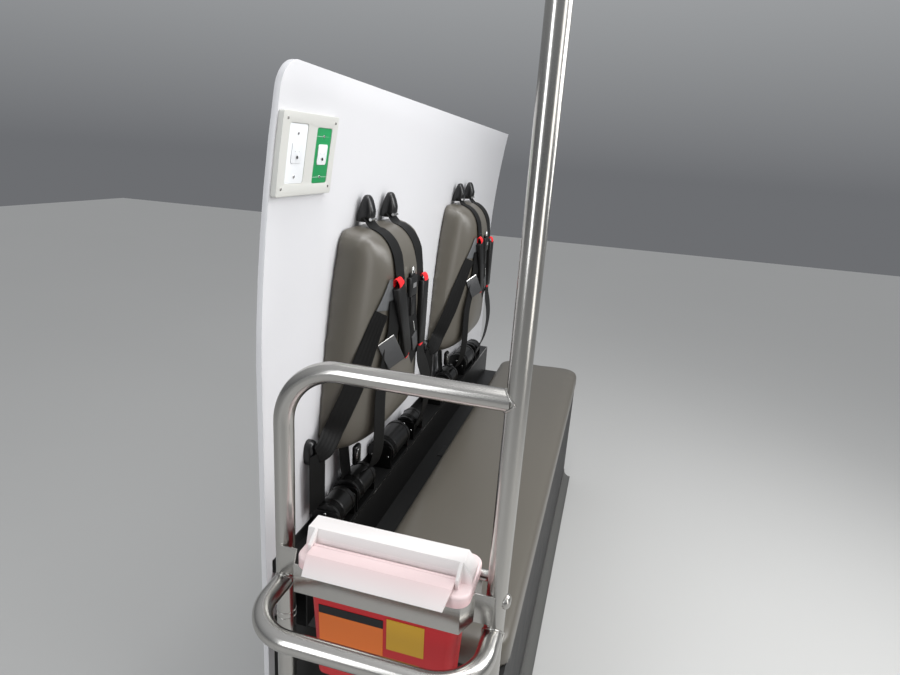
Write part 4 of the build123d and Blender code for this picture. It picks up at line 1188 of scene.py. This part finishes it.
def floor():
    data = bpy.data.meshes.new("floor")
    corners = [(x * FLOOR_REACH, y * FLOOR_REACH, 0) for x, y in ((-1, -1), (1, -1), (1, 1), (-1, 1))]
    data.from_pydata(corners, [], [(0, 1, 2, 3)])
    obj = added("floor", data)
    material = finish("floor_pale", (0.50, 0.50, 0.49), 0.65, mottle=0.02, mottle_size=900.0)
    data.materials.append(material)


# Soft lights: name, place, aim and size in metres, watts, colour
WHITE = (1.0, 1.0, 1.0)
LIGHTS = [
    ("ceiling", (0.95, 0.55, 2.25), (-0.3, 0.45, 0.8), (0.5, 2.4), 33.0, WHITE),
    ("overhead", (-0.05, 0.4, 2.5), (-0.05, 0.4, 0.0), (0.25, 2.4), 8.0, WHITE),
    ("right", (1.9, -0.7, 1.3), (-0.3, 0.3, 0.8), (0.7, 2.0), 13.0, (1.0, 0.98, 0.95)),
    ("aisle", (1.4, 1.2, 1.55), (-0.33, 0.5, 1.0), (0.5, 1.0), 9.0, WHITE),
    ("left", (-1.0, -2.0, 1.5), (-0.2, 0.2, 0.7), (0.5, 1.6), 16.0, (0.96, 0.98, 1.0)),
]


def soft_light(name, at, aim, size, power, color):
    data = bpy.data.lights.new(name, "AREA")
    data.shape = "RECTANGLE"
    data.size, data.size_y = size
    data.energy = power
    data.color = color
    obj = added(name, data)
    obj.location = at
    obj.rotation_euler = (Vector(aim) - Vector(at)).to_track_quat("-Z", "Y").to_euler()
    obj.visible_camera = False


# Light from all round by height: (share of the way from straight down to straight up, colour)
SKY = [
    (0.0, (0.16, 0.16, 0.16)), (0.49, (0.15, 0.155, 0.165)), (0.62, (0.34, 0.35, 0.36)),
    (1.0, (0.74, 0.75, 0.77)),
]


def world_light():
    world = bpy.data.worlds.new("studio")
    bpy.context.scene.world = world
    world.use_nodes = True
    nodes = world.node_tree.nodes
    links = world.node_tree.links
    place = nodes.new("ShaderNodeTexCoord")
    split = nodes.new("ShaderNodeSeparateXYZ")
    height = nodes.new("ShaderNodeMapRange")
    height.inputs["From Min"].default_value = -1.0
    ramp = nodes.new("ShaderNodeValToRGB")
    marks = ramp.color_ramp.elements
    while len(marks) < len(SKY):
        marks.new(0.5)
    for mark, (position, color) in zip(marks, SKY):
        mark.position = position
        mark.color = (*color, 1.0)
    links.new(place.outputs["Generated"], split.inputs["Vector"])
    links.new(split.outputs["Z"], height.inputs["Value"])
    links.new(height.outputs["Result"], ramp.inputs["Fac"])
    links.new(ramp.outputs["Color"], nodes["Background"].inputs["Color"])


def camera():
    yaw = math.radians(CAMERA_YAW)
    pitch = math.radians(CAMERA_PITCH)
    roll = math.radians(CAMERA_ROLL)
    ahead = Vector((math.sin(yaw) * math.cos(pitch), math.cos(yaw) * math.cos(pitch), -math.sin(pitch)))
    level = Vector((math.cos(yaw), -math.sin(yaw), 0))
    plumb = level.cross(ahead)
    right = level * math.cos(roll) + plumb * math.sin(roll)
    up = plumb * math.cos(roll) - level * math.sin(roll)
    data = bpy.data.cameras.new("camera")
    data.sensor_width = SENSOR_WIDTH
    data.lens = FOCAL_PIXELS / FRAME_WIDTH_PIXELS * SENSOR_WIDTH
    data.clip_start = CLIP_START
    obj = added("camera", data)
    turn = Matrix((right, up, -ahead)).transposed().to_4x4()
    obj.matrix_world = Matrix.Translation(Vector(CAMERA_AT) * MM) @ turn
    bpy.context.scene.camera = obj


floor()
world_light()
for light in LIGHTS:
    soft_light(*light)
bpy.context.scene.view_settings.view_transform = "Standard"
camera()
